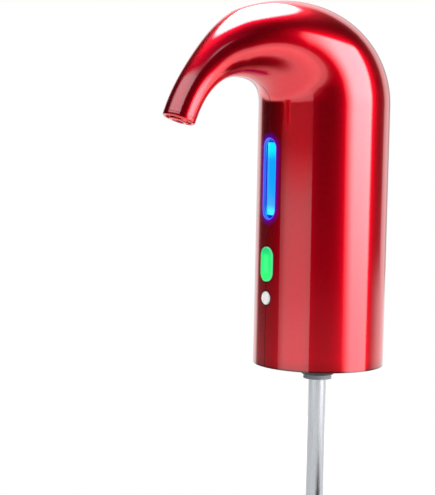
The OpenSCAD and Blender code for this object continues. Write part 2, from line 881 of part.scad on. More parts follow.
module commutator() {
  z = deck_top + bell_h + 1;
  color([0.78, 0.5, 0.25]) at_pump() difference() {
    translate([0, 0, z]) cylinder(r = bush_r, h = core_z - z);
    translate([0, 0, z - 1]) cylinder(r = shaft_r + press_gap, h = core_z - z + 2);
    for (a = [0, 120, 240]) rotate([0, 0, a])
      translate([bush_r * 0.75, -0.2, z - 1]) cube([bush_r, 0.4, core_z - z + 2]);
  }
}

// Pump

// Slanting pin that swings the frame above it
module pin_bar(r) {
  d = pin_high - pin_low;
  translate([pin_low[0], 0, pin_low[1]]) rotate([0, atan2(d[0], d[1]), 0]) cylinder(r = r, h = norm(d));
}

module eccentric() {
  color([0.9, 0.88, 0.8]) at_pump() difference() {
    translate([0, 0, case_z + hub_z]) cylinder(r = hub_r, h = hub_h);
    translate([0, 0, case_z]) cylinder(r = shaft_r + press_gap, h = hub_z + hub_h - 0.4 + press_gap);
    pin_bar(pin_r + press_gap);
  }
}

module drive_pin() {
  color([0.8, 0.8, 0.82]) at_pump() pin_bar(pin_r);
}

module pump_case() {
  color([0.88, 0.88, 0.86]) at_pump() difference() {
    union() {
      tube(case_z, case_t, pump_r, bush_r + 0.9);
      tube(case_z, case_h, pump_r, pump_r - 1.4);
      at_pump_screws() translate([0, 0, case_z]) cylinder(r = pump_screw_r + 0.9, h = case_h);
    }
    at_pump_screws() translate([0, 0, case_z + 4]) cylinder(r = pump_screw_r + press_gap, h = case_h);
    at_pegs() translate([0, 0, case_z + case_h * 0.4]) rotate([0, 90, 0]) cylinder(r = 1.2, h = pump_r);
  }
}

// Children at the three screws and the three pegs
module at_pump_screws() {
  for (a = [60, 180, 300]) rotate([0, 0, a]) translate([pump_screw_d, 0, 0]) children();
}

module at_pegs() {
  for (a = [0, 120, 240]) rotate([0, 0, a]) translate([peg_d, 0, 0]) children();
}

// Three-armed frame; its socket clears the whole cone that the pin sweeps
module swing_frame() {
  color([0.3, 0.5, 0.75]) at_pump() difference() {
    union() {
      translate([0, 0, swing_z]) cylinder(r1 = 3.9, r2 = 2.7, h = swing_h);
      at_pegs() {
        translate([-peg_d + 3, -1.2, swing_z]) cube([peg_d - 3 + 1, 2.4, 2]);
        translate([0, 0, swing_z]) cylinder(r = peg_r, h = swing_h - 0.1);
      }
    }
    translate([0, 0, swing_z - eps]) cylinder(r1 = 2.9, r2 = 2.1, h = swing_h - 0.7);
  }
}

module diaphragm() {
  color([0.25, 0.25, 0.27]) at_pump() difference() {
    union() {
      translate([0, 0, diaphragm_z]) cylinder(r = pump_r, h = diaphragm_t);
      at_pegs() translate([0, 0, diaphragm_z - 2.6]) cylinder(r = cup_r, h = 2.7);
    }
    at_pegs() translate([0, 0, diaphragm_z - 3]) cylinder(r = peg_r + press_gap, h = 2.3);
    at_pegs() translate([0, 0, diaphragm_z + 0.2]) cylinder(r = cup_r - 0.6, h = diaphragm_t + 1);
    at_pump_screws() translate([0, 0, diaphragm_z - 1])
      cylinder(r = pump_screw_r + 0.1, h = diaphragm_t + 2);
  }
}

module valve_plate() {
  color([0.85, 0.85, 0.83]) at_pump() difference() {
    translate([0, 0, valve_z]) cylinder(r = pump_r, h = valve_t);
    at_pegs() for (s = [-1, 1]) translate([s * peg_r, 0, valve_z - 1]) cylinder(r = 0.5, h = valve_t + 2);
    at_pump_screws() translate([0, 0, valve_z - 1]) cylinder(r = pump_screw_r + 0.1, h = valve_t + 2);
  }
}

module pump_cap() {
  color([0.88, 0.88, 0.86]) at_pump() difference() {
    union() {
      translate([0, 0, cap_z]) cylinder(r = pump_r, h = cap_h);
      translate([0, 0, cap_top - eps]) cylinder(r = air_bore - press_gap, h = barb_h);
    }
    translate([0, 0, cap_z - 1]) cylinder(r = peg_d + 1.2, h = cap_h - 0.5);
    translate([0, 0, cap_z]) cylinder(r = 0.7, h = cap_h + barb_h + 1);
    at_pump_screws() translate([0, 0, cap_z - 1]) cylinder(r = pump_screw_r + 0.1, h = cap_h + 2);
  }
}

module pump_screws() {
  color([0.7, 0.7, 0.72]) at_pump() at_pump_screws()
    translate([0, 0, cap_top]) screw(pump_screw_r, cap_h + valve_t + diaphragm_t + 8, 1.5, 1);
}

// Hoses

// Hose through stations in the XZ plane, each a centre and a normal; ri is measured to the bore's flats
module hose(stations, ro, ri) {
  n = hose_sides;
  m = 2 * n;
  pts = [for (s = stations) each concat(
    [for (j = [0 : n - 1]) ring_point(s, ro, 360 * j / n)],
    [for (j = [0 : n - 1]) ring_point(s, ri / cos(180 / n), 360 * j / n)]
  )];
  last = (len(stations) - 1) * m;
  sides = [for (i = [0 : len(stations) - 2]) for (j = [0 : n - 1])
    let (a = i * m + j, b = i * m + (j + 1) % n, c = a + n, d = b + n)
    each [[a, b + m, b], [a, a + m, b + m], [c, d, d + m], [c, d + m, c + m]]];
  caps = [for (j = [0 : n - 1])
    let (a = j, b = (j + 1) % n, c = a + n, d = b + n)
    each [[a, b, d], [a, d, c], [last + a, last + d, last + b], [last + a, last + c, last + d]]];
  polyhedron(points = pts, faces = concat(sides, caps));
}

// From the check valve up, over a half turn and down to the pump's outlet
module air_hose() {
  stations = concat(
    [[[0, valve_low + valve_h + hose_gap], [1, 0]]],
    [for (i = [0 : 12]) let (a = 15 * i, u = [cos(a), -sin(a)]) [[bend_r, bend_z] - bend_r * u, u]],
    [[[2 * bend_r, cap_top + hose_gap], [-1, 0]]]
  );
  color([0.9, 0.9, 0.88]) at_air() rotate([0, 0, bend_turn]) hose(stations, air_r, air_bore);
}

module air_hose_lower() {
  low = ceil_z + hose_lift;
  color([0.9, 0.9, 0.88]) at_air() tube(low, valve_low - hose_gap - low, air_r, air_bore);
}

module check_valve() {
  color([0.95, 0.95, 0.93]) at_air() difference() {
    union() {
      translate([0, 0, valve_low]) cylinder(r = valve_r, h = valve_h);
      translate([0, 0, valve_low - barb_h]) cylinder(r = air_bore - press_gap, h = valve_h + 2 * barb_h);
    }
    translate([0, 0, valve_low - barb_h - 1]) cylinder(r = air_way, h = valve_h + 2 * barb_h + 2);
    translate([0, 0, valve_low + valve_floor]) cylinder(r = valve_room_r, h = valve_room_h);
  }
}

module check_flap() {
  color([0.2, 0.2, 0.2]) at_air()
    translate([0, 0, valve_low + valve_floor]) cylinder(r = valve_room_r - slide_gap, h = flap_t);
}

// From the adapter's barb up the axis, through the arch and into the nozzle
module wine_hose() {
  hose_end = end_angle - 3.6;
  stations = concat(
    [[[0, ceil_z + hose_lift], [1, 0]]],
    [for (a = arch_turns) if (a < hose_end - 2) [section_c(a), rail_normal(a)]],
    [[section_c(hose_end), rail_normal(hose_end)]]
  );
  color([0.9, 0.9, 0.88]) hose(stations, hose_r, hose_bore);
}

left_shell();
right_shell();
light_window();
power_button();
mode_button();
spout_ring();
aerator_nozzle();
base_plate();
base_spacers();
neck_cup();
base_screws();
lip_gasket();
stopper();
bottle_adapter();
dip_seal();
dip_tube_upper();
dip_tube_middle();
dip_tube_lower();
inner_frame();
frame_screws();
top_bracket();
bracket_screws();
control_board();
board_screws();
board_leds();
board_chips();
power_switch();
mode_switch();
power_plunger();
mode_plunger();
light_box();
usb_board();
usb_port();
usb_leads();
battery();
battery_sleeve();
battery_tabs();
motor_can();
motor_end_bell();
motor_bushes();
motor_magnets();
motor_leads();
motor_shaft();
armature();
commutator();
eccentric();
drive_pin();
pump_case();
swing_frame();
diaphragm();
valve_plate();
pump_cap();
pump_screws();
air_hose();
air_hose_lower();
check_valve();
check_flap();
wine_hose();
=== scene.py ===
"""Electric wine aerator.

Models the lacquered shells, the lit controls, the spout's end, the stopper and the dip tube
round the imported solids.
"""

import json
import math

import bmesh
import bpy
from mathutils import Matrix, Quaternion, Vector


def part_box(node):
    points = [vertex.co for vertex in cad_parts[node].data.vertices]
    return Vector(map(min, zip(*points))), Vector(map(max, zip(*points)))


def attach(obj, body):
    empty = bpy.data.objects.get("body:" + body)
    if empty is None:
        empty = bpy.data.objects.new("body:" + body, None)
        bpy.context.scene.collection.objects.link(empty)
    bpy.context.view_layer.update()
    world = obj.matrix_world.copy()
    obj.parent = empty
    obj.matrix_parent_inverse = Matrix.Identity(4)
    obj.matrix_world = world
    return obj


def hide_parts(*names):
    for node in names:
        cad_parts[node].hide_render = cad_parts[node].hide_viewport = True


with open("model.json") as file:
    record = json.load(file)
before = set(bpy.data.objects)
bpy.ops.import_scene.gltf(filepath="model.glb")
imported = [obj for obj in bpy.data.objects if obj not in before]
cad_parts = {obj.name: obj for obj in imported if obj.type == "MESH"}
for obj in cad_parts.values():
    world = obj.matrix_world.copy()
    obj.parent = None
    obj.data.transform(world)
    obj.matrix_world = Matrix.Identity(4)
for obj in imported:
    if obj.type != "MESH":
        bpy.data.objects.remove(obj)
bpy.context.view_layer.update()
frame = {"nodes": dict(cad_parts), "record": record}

bl_info = {
    "name": "Electric wine aerator",
    "version": (1, 0, 0),
    "blender": (4, 5, 0),
    "location": "View3D > Sidebar > Aerator",
    "description": "Models the outside of an electric wine aerator and its studio",
    "category": "Object",
}

# Sides of half a ring of the body, and rings along the arch
RING = 64
ARCH_STEPS = 64

# Distance within which a point counts as lying on the bare skin
ON_SKIN = 2e-5

# Fine fullness of the arch: slope, run, heights over the arch's start and taper, and blend at the crook
SWELL_SLOPE = 0.24
SWELL_RUN = 0.024
SWELL_RISE = (0.0068, 0.0368)
TAPER_SLOPE = 0.11
CROOK_BLEND = 0.003

# Painted shade at the foot, round the buttons and in the seam, and the painted glow of the window on the
# lacquer, as distances over which they fade
FRONT_X = -0.02
FOOT_SHADE = (0.001, 0.006)
PAINTED_FOOT_LINE = (0.0003, 0.0011)
PAINTED_RIM_SHADE = (0.0002, 0.0007)
SEAM_SHADE_LINE = (0.00026, 0.0005)
SEAM_SHADE_TOP = (0.131, 0.136)
SEAM_SHADE_REACH = (-0.062, -0.052)
HALO_REACH = (-0.0004, 0.0040)


# Sizes and colours

def length(name, default, description):
    """Length property in metres."""
    return bpy.props.FloatProperty(name=name, description=description, default=default, min=0.0,
                                   precision=5, subtype="DISTANCE", unit="LENGTH")


def level(name, default, description):
    """Height above the bottom rim, in metres."""
    return bpy.props.FloatProperty(name=name, description=description, default=default,
                                   precision=5, subtype="DISTANCE", unit="LENGTH")


def turn(name, default, description):
    """Angle property, given in degrees."""
    return bpy.props.FloatProperty(name=name, description=description, default=math.radians(default),
                                   subtype="ANGLE", unit="ROTATION")


def colour(name, default, description):
    """Linear colour property."""
    return bpy.props.FloatVectorProperty(name=name, description=description, default=default, size=3,
                                         min=0.0, max=1.0, subtype="COLOR")


def amount(name, default, description):
    """Plain number property."""
    return bpy.props.FloatProperty(name=name, description=description, default=default, min=0.0)


class AeratorBodySizes(bpy.types.PropertyGroup):
    """Sizes of the cane-shaped body"""
    radius: length("Body radius", 0.030, "Outer radius of the round body")
    wall: length("Wall", 0.002, "Wall of the two shells")
    arch_z: level("Arch start", 0.1192, "Height at which the arch starts")
    crook_reach: length("Crook reach", 0.0191, "Reach of the crook in front of the body")
    crook_rise: length("Crook rise", 0.0113, "Rise of the crook above the start of the arch")
    fall_reach: length("Fall reach", 0.0246, "Reach of the falling stretch past the crook")
    fall_drop: length("Fall drop", 0.0415, "Height of the falling stretch's ellipse")
    end_turn: turn("End turn", 160, "Turn of the section from the body to the shells' end")
    tip_radius: length("Tip radius", 0.0074, "Outer radius of the spout's tip")
    thinning: amount("Thinning", 1.26, "How fast the arch thins towards the tip")
    seam: length("Seam", 0.00026, "Rounding of the edges along the seam and the openings")


class AeratorFrontSizes(bpy.types.PropertyGroup):
    """Sizes of the window, the buttons and the charging slot"""
    window_z: level("Window height", 0.0855, "Height of the light window's centre")
    window_w: length("Window width", 0.010, "Width of the light window")
    window_h: length("Window length", 0.037, "Length of the light window")
    window_rim: length("Window rim", 0.0004, "Width of the window's flush rim")
    window_depth: length("Window depth", 0.0018, "Depth of the window's floor")
    panel_w: length("Panel width", 0.0066, "Width of the lit panel on the window's floor")
    panel_h: length("Panel length", 0.0326, "Length of the lit panel on the window's floor")
    panel_t: length("Panel height", 0.0002, "Height of the lit panel above the window's floor")
    power_z: level("Power button height", 0.047, "Height of the power button's centre")
    power_w: length("Power opening width", 0.009, "Width of the power button's opening")
    power_h: length("Power opening length", 0.016, "Length of the power button's opening")
    mode_z: level("Mode button height", 0.0316, "Height of the mode button's centre")
    mode_d: length("Mode opening", 0.0064, "Diameter of the mode button's opening")
    gap: length("Button gap", 0.0002, "Gap round the buttons")
    proud: length("Button height", 0.0006, "How far the buttons stand out of the body")
    port_z: level("Charging slot height", 0.0253, "Height of the charging slot's centre")
    port_w: length("Charging slot width", 0.0097, "Width of the charging slot")
    port_h: length("Charging slot depth", 0.0039, "Height of the charging slot's opening")


class AeratorEndSizes(bpy.types.PropertyGroup):
    """Sizes of the spout's end, the stopper and the dip tube"""
    ring_h: length("End ring", 0.0022, "Length of the end ring past the shells")
    nozzle_r: length("Nozzle radius", 0.0042, "Outer radius of the nozzle")
    outlet_r: length("Outlet radius", 0.0025, "Radius of the outlet")
    land_r: length("Land radius", 0.00925, "Radius of the stopper's sealing lands")
    land_pitch: length("Land pitch", 0.005, "Distance from one sealing land to the next")
    socket_depth: length("Socket depth", 0.020, "Depth of the socket for the bottle's lip")
    tube_r: length("Tube radius", 0.004, "Outer radius of the upper dip tube")
    tube_step: length("Tube step", 0.0005, "How much thinner each next section is")
    tube_wall: length("Tube wall", 0.0004, "Wall of the dip tube")
    tube_len: length("Tube length", 0.098, "Length of each section")
    tube_top: level("Tube top", 0.0135, "Height of the upper section's top")


class AeratorFinish(bpy.types.PropertyGroup):
    """Colours of the finishes"""
    lacquer: colour("Lacquer", (0.88, 0.002, 0.018), "Red of the metallic lacquer")
    lacquer_deep: colour("Lacquer shade", (0.70, 0.0012, 0.011), "Deeper red between the flakes")
    # Painted shade: dark line along the bottom rim and round the button openings
    lacquer_painted_shade: colour("Lacquer foot", (0.05, 0.001, 0.002), "Dark line along the bottom rim")
    # Painted shade in the seam groove at the front of the crook
    lacquer_seam_shade: colour("Lacquer seam", (0.16, 0.002, 0.006), "Red in the fine groove between the shells")
    window_core: colour("Window core", (0.0, 0.376, 1.0), "Light in the middle of the window")
    window_deep: colour("Window speckle", (0.0, 0.22, 0.9), "Faint deeper speckle of the window")
    window_end: colour("Window ends", (0.0, 0.90, 1.0), "Light at the two ends of the window")
    # Painted shade on the window's floor round the lit panel
    window_floor_shade: colour("Window floor", (0.0, 0.006, 0.50), "Deep blue floor round the lit panel")
    window_wall: colour("Window wall", (0.02, 0.08, 0.66), "Blue of the walls near the floor")
    # Painted light on the window's walls near the lip
    window_lip_lit: colour("Window lip", (0.09, 0.17, 0.95), "Paler blue of the walls near the lip")
    # Painted glow of the lit window on the lacquer round it
    window_halo: colour("Window halo", (0.02, 0.0, 0.36), "Light of the window on the lacquer round it")
    power_core: colour("Power core", (0.05, 0.92, 0.24), "Light in the middle of the power button")
    power_edge: colour("Power edge", (0.0, 0.85, 0.15), "Light round the middle of the power button")
    power_top: colour("Power top", (0.004, 0.58, 0.18), "Light at the power button's upper end")
    power_low: colour("Power bottom", (0.0, 0.94, 0.13), "Light at the power button's lower end")
    power_rim: colour("Power rim", (0.12, 0.66, 0.30), "Pale edge of the power button")
    mode_white: colour("Mode button", (0.92, 0.93, 0.91), "White of the mode button")
    steel: colour("Steel", (0.56, 0.57, 0.60), "Brushed steel of the dip tube")
    silicone: colour("Silicone", (0.035, 0.035, 0.04), "Dark silicone of the stopper")


class AeratorStudio(bpy.types.PropertyGroup):
    """Light levels of the studio, as radiance where white is 1"""
    overhead: amount("Overhead softbox", 12.0, "Radiance of the softbox above in the gloss")
    overhead_fill: amount("Overhead light", 2.4, "Radiance of the light above on matt surfaces")
    right_box: amount("Right softbox", 6.6, "Radiance of the softbox at the right")
    left_panel: amount("Left panel", 2.5, "Radiance of the panel at the front left in the gloss")
    left_fill: amount("Left light", 1.8, "Radiance of the light at the front left on matt surfaces")
    low_card: amount("Low card", 0.85, "Radiance of the low card at the front left")
    ambient: amount("Room", 0.65, "Level of the room's even light")
    floor_glow: amount("Floor white", 0.36, "White that the floor adds to its lit colour for the eye")
    floor_z: level("Floor", -0.262, "Height of the floor, below the drawn-out tube")


# Modelling helpers

def deselect():
    """Leave edit mode and deselect all objects."""
    if bpy.context.object and bpy.context.object.mode != "OBJECT":
        bpy.ops.object.mode_set(mode="OBJECT")
    bpy.ops.object.select_all(action="DESELECT")


def take(obj):
    """Make one object the only selected and active one."""
    deselect()
    obj.select_set(True)
    bpy.context.view_layer.objects.active = obj
    return obj


def edit(obj, kind="VERT"):
    """Enter edit mode on one object, with nothing selected."""
    take(obj)
    bpy.ops.object.mode_set(mode="EDIT")
    bpy.ops.mesh.select_mode(type=kind)
    bpy.ops.mesh.select_all(action="DESELECT")


def done():
    """Back to object mode."""
    bpy.ops.object.mode_set(mode="OBJECT")


def pick_points(obj, test):
    """Select the points whose place passes the test."""
    mesh = bmesh.from_edit_mesh(obj.data)
    for v in mesh.verts:
        v.select_set(bool(test(v.co)))
    mesh.select_flush_mode()
    bmesh.update_edit_mesh(obj.data)


def start(name):
    """Name the primitive that was just added."""
    obj = bpy.context.object
    obj.name = name
    obj.data.name = name
    return obj


def settle(obj):
    """Put the piece's place into its mesh."""
    take(obj)
    bpy.ops.object.transform_apply(location=True, rotation=True, scale=True)
    return obj


def tidy(obj, gap=1e-6):
    """Merge doubles and turn all faces outwards."""
    edit(obj)
    bpy.ops.mesh.select_all(action="SELECT")
    bpy.ops.mesh.remove_doubles(threshold=gap)
    bpy.ops.mesh.normals_make_consistent(inside=False)
    done()
    return obj


def finish_with(obj, kind, name, **values):
    """Add a modifier, set it and apply it."""
    take(obj)
    modifier = obj.modifiers.new(name, kind)
    for key, value in values.items():
        setattr(modifier, key, value)
    bpy.ops.object.modifier_apply(modifier=name)
    return obj


def cut(obj, cutter, operation="DIFFERENCE"):
    """Cut one piece with another, which is then removed."""
    finish_with(obj, "BOOLEAN", "cut", object=cutter, operation=operation, solver="EXACT")
    bpy.data.objects.remove(cutter)
    return obj


def soften(obj, width, angle=35, segments=2):
    """Round the sharp edges."""
    return finish_with(obj, "BEVEL", "edges", width=width, segments=segments, limit_method="ANGLE",
                       angle_limit=math.radians(angle))


def smooth(obj, angle=35):
    """Smooth shading that keeps the sharp edges."""
    take(obj)
    bpy.ops.object.shade_smooth_by_angle(angle=math.radians(angle))
    return obj


def skin_guide(shell):
    """Copy of the bare swept skin, kept for its even normals."""
    take(shell)
    bpy.ops.object.duplicate()
    guide = start(shell.name + "_guide")
    bpy.ops.object.shade_smooth()
    return guide


def follow_guide(obj, guide):
    """Take the even normals of the bare skin for the outer face, and drop the skin."""
    outer = obj.vertex_groups.new(name="outer face")
    for v in obj.data.vertices:
        found, spot, _, _ = guide.closest_point_on_mesh(v.co)
        if found and (spot - v.co).length < ON_SKIN:
            outer.add([v.index], 1.0, "REPLACE")
    finish_with(obj, "DATA_TRANSFER", "even", object=guide, use_loop_data=True,
                data_types_loops={"CUSTOM_NORMAL"}, loop_mapping="POLYINTERP_NEAREST",
                vertex_group="outer face")
    obj.vertex_groups.clear()
    bpy.data.objects.remove(guide)
    return obj


def mirrored(obj, name):
    """Copy of a piece on the other side of the seam."""
    take(obj)
    bpy.ops.object.duplicate()
    other = start(name)
    edit(other)
    bpy.ops.mesh.select_all(action="SELECT")
    bpy.ops.transform.resize(value=(1, -1, 1), center_override=(0, 0, 0))
    bpy.ops.mesh.flip_normals()
    done()
    return other


def slot_bar(name, z, wide, high, near, far, across=24, side=-1):
    """Round-ended bar through the front wall (side -1) or the rear wall (side 1).

    It stands upright unless it is wider than high.
    """
    deselect()
    d = min(wide, high)
    bpy.ops.mesh.primitive_circle_add(vertices=2 * across, radius=d / 2, fill_type="NGON",
                                      location=(side * near, 0, z), rotation=(0, math.pi / 2, 0))
    bar = settle(start(name))
    edit(bar)
    shift = Vector((0, (wide - d) / 2, (high - d) / 2))
    for sign in (-1, 1):
        pick_points(bar, lambda co: sign * (Vector((0, co.y, co.z - z)).dot(shift)) > 1e-9)
        bpy.ops.transform.translate(value=sign * shift)
    bpy.ops.mesh.select_all(action="SELECT")
    bpy.ops.mesh.extrude_region_move(TRANSFORM_OT_translate={"value": (side * (far - near), 0, 0)})
    done()
    return tidy(bar)


def drum(name, radius, low, high, sides=192):
    """Upright drum that trims a face to the body's curve."""
    deselect()
    bpy.ops.mesh.primitive_circle_add(vertices=sides, radius=radius, fill_type="NGON",
                                      location=(0, 0, low))
    piece = settle(start(name))
    edit(piece)
    bpy.ops.mesh.select_all(action="SELECT")
    bpy.ops.mesh.extrude_region_move(TRANSFORM_OT_translate={"value": (0, 0, high - low)})
    done()
    return tidy(piece)


def lathe(name, profile, origin=(0, 0, 0), along=(0, 0, 1), out=(1, 0, 0), steps=72, closed=True):
    """Draw a profile point by point, as distance from the axis and height along it, and spin it."""
    origin, along, out = Vector(origin), Vector(along), Vector(out)
    spots = [origin + out * r + along * h for r, h in profile]
    if closed:
        spots.append(spots[0])
    deselect()
    bpy.ops.mesh.primitive_plane_add(size=0.001, location=spots[0])
    piece = settle(start(name))
    edit(piece)
    bpy.ops.mesh.select_all(action="SELECT")
    bpy.ops.mesh.merge(type="CENTER")
    for a, b in zip(spots, spots[1:]):
        bpy.ops.mesh.extrude_region_move(TRANSFORM_OT_translate={"value": b - a})
    bpy.ops.mesh.select_all(action="SELECT")
    bpy.ops.mesh.spin(steps=steps, angle=2 * math.pi, center=origin, axis=along)
    done()
    return tidy(piece, 1e-6)


def place(piece, body, slot, material, *nodes):
    """Give the piece its finish, its body and the solids that it stands for."""
    piece.data.materials.clear()
    piece.data.materials.append(material)
    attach(piece, body)
    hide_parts(*nodes)
    return piece


# Curve of the arch

def rail(s, a):
    """Point of the arch's inner rail where its normal has turned by a."""
    if a <= math.pi / 2:
        t = math.atan2(s.crook_rise * math.sin(a), s.crook_reach * math.cos(a))
        return Vector((-s.radius - s.crook_reach * (1 - math.cos(t)), 0,
                       s.arch_z + s.crook_rise * math.sin(t)))
    t = math.atan2(s.fall_drop * math.sin(a), s.fall_reach * math.cos(a))
    return Vector((-s.radius - s.crook_reach + s.fall_reach * math.cos(t), 0,
                   s.arch_z + s.crook_rise - s.fall_drop * (1 - math.sin(t))))


def ring_radius(s, a):
    """Radius of the arch's section there."""
    share = max(0.0, (1 + math.cos(math.pi * a / s.end_turn)) / 2)
    return s.tip_radius + (s.radius - s.tip_radius) * share ** s.thinning


def ring_centre(s, a):
    """Centre of the arch's section there."""
    return rail(s, a) + Vector((math.cos(a), 0, math.sin(a))) * ring_radius(s, a)


def spout_end(s):
    """Centre of the shells' end, the way out of the spout and a way across it."""
    a = s.end_turn
    along = Vector((-math.sin(a), 0, math.cos(a)))
    out = Vector((math.cos(a), 0, math.sin(a)))
    return ring_centre(s, a), along, out


# Material helpers

class Nodes:
    """Adds nodes to one tree."""

    def __init__(self, tree):
        self.tree = tree

    def add(self, kind, **values):
        node = self.tree.nodes.new(kind)
        for key, value in values.items():
            setattr(node, key, value)
        return node

    def feed(self, socket, value):
        """Link an output, or set a constant."""
        if isinstance(value, bpy.types.NodeSocket):
            self.tree.links.new(value, socket)
        elif socket.type == "RGBA" and len(value) == 3:
            socket.default_value = (*value, 1.0)
        else:
            socket.default_value = value

    def ramp(self, fac, stops, ease="LINEAR"):
        node = self.add("ShaderNodeValToRGB")
        node.color_ramp.interpolation = ease
        while len(node.color_ramp.elements) < len(stops):
            node.color_ramp.elements.new(0.5)
        for element, (at, tint) in zip(node.color_ramp.elements, stops):
            element.position = at
            element.color = (*tint, 1.0) if hasattr(tint, "__len__") else (tint, tint, tint, 1.0)
        self.feed(node.inputs["Fac"], fac)
        return node.outputs["Color"]

    def math(self, operation, a, b=0.0, clamp=False, blend=0.0):
        node = self.add("ShaderNodeMath", operation=operation, use_clamp=clamp)
        self.feed(node.inputs[0], a)
        self.feed(node.inputs[1], b)
        node.inputs[2].default_value = blend
        return node.outputs["Value"]

    def span(self, value, low, high, to_low=0.0, to_high=1.0, smooth_ends=True):
        node = self.add("ShaderNodeMapRange", interpolation_type="SMOOTHSTEP" if smooth_ends else "LINEAR")
        for key, v in (("Value", value), ("From Min", low), ("From Max", high),
                       ("To Min", to_low), ("To Max", to_high)):
            self.feed(node.inputs[key], v)
        return node.outputs["Result"]

    def mix(self, fac, a, b, blend="MIX"):
        node = self.add("ShaderNodeMix", data_type="RGBA", blend_type=blend)
        self.feed(node.inputs["Factor"], fac)
        self.feed(node.inputs[6], a)
        self.feed(node.inputs[7], b)
        return node.outputs[2]

    def choose(self, fac, a, b):
        """Number a where the factor is 0, and b where it is 1."""
        node = self.add("ShaderNodeMix", data_type="FLOAT")
        self.feed(node.inputs["Factor"], fac)
        self.feed(node.inputs["A"], a)
        self.feed(node.inputs["B"], b)
        return node.outputs["Result"]

    def hypot(self, a, b):
        """Length of the way whose two legs are a and b."""
        return self.math("SQRT", self.math("ADD", self.math("MULTIPLY", a, a), self.math("MULTIPLY", b, b)))

    def dot(self, vector, way):
        """How far a direction points along another."""
        node = self.add("ShaderNodeVectorMath", operation="DOT_PRODUCT")
        self.feed(node.inputs[0], vector)
        self.feed(node.inputs[1], way)
        return node.outputs["Value"]

    def split(self, vector):
        node = self.add("ShaderNodeSeparateXYZ")
        self.tree.links.new(vector, node.inputs["Vector"])
        return node.outputs["X"], node.outputs["Y"], node.outputs["Z"]

    def seen(self):
        """1 for what the eye, a mirror or clear glass sees, 0 for light that falls on a matt surface."""
        path = self.add("ShaderNodeLightPath").outputs
        direct = self.math("MAXIMUM", path["Is Camera Ray"], path["Is Transmission Ray"])
        return self.math("MAXIMUM", direct, path["Is Glossy Ray"])


class Finish(Nodes):
    """Node material on a Principled shader, reading Object coordinates."""

    def __init__(self, name):
        self.material = bpy.data.materials.new(name)
        self.material.use_nodes = True
        super().__init__(self.material.node_tree)
        self.shader = self.tree.nodes["Principled BSDF"]
        self.place = self.tree.nodes.new("ShaderNodeTexCoord").outputs["Object"]

    def set(self, **values):
        """Set or link the shader's inputs, with _ for a space in their names."""
        for key, value in values.items():
            self.feed(self.shader.inputs[key.replace("_", " ")], value)
        return self

    def axes(self):
        return self.split(self.place)

    def mapped(self, scale):
        node = self.add("ShaderNodeMapping")
        node.inputs["Scale"].default_value = scale
        self.tree.links.new(self.place, node.inputs["Vector"])
        return node.outputs["Vector"]

    def noise(self, scale, detail=2.0, roughness=0.5, vector=None):
        node = self.add("ShaderNodeTexNoise")
        self.feed(node.inputs["Vector"], vector or self.place)
        node.inputs["Scale"].default_value = scale
        node.inputs["Detail"].default_value = detail
        node.inputs["Roughness"].default_value = roughness
        return node.outputs["Fac"]

    def bump(self, height, strength, distance, under=None):
        node = self.add("ShaderNodeBump")
        node.inputs["Strength"].default_value = strength
        node.inputs["Distance"].default_value = distance
        self.tree.links.new(height, node.inputs["Height"])
        if under is not None:
            self.tree.links.new(under, node.inputs["Normal"])
        return node.outputs["Normal"]

    def slot_distance(self, y, z, centre, wide, high):
        """Distance from the middle line of an upright slot."""
        up = self.math("ABSOLUTE", self.math("SUBTRACT", z, centre))
        up = self.math("MAXIMUM", self.math("SUBTRACT", up, (high - wide) / 2), 0.0)
        return self.hypot(up, y)


# Finishes

def arch_fullness(f, body, x, z):
    """Height of the arch's fine fullness over its swept rings.

    It swells behind the crook and tapers evenly towards the tip.
    """
    behind = f.math("ADD", x, body.radius + body.crook_reach)
    rising = f.math("SMOOTH_MAX", behind, 0.0, blend=CROOK_BLEND)
    run = f.math("MINIMUM", rising, SWELL_RUN)
    slope = f.math("SUBTRACT", SWELL_SLOPE, f.math("MULTIPLY", run, SWELL_SLOPE / (2 * SWELL_RUN)))
    swell = f.math("MULTIPLY", run, slope)
    swell = f.math("MULTIPLY", swell, f.span(z, *(body.arch_z + rise for rise in SWELL_RISE)))
    taper = f.math("MULTIPLY", f.math("SUBTRACT", behind, rising), TAPER_SLOPE)
    return f.math("ADD", swell, taper)


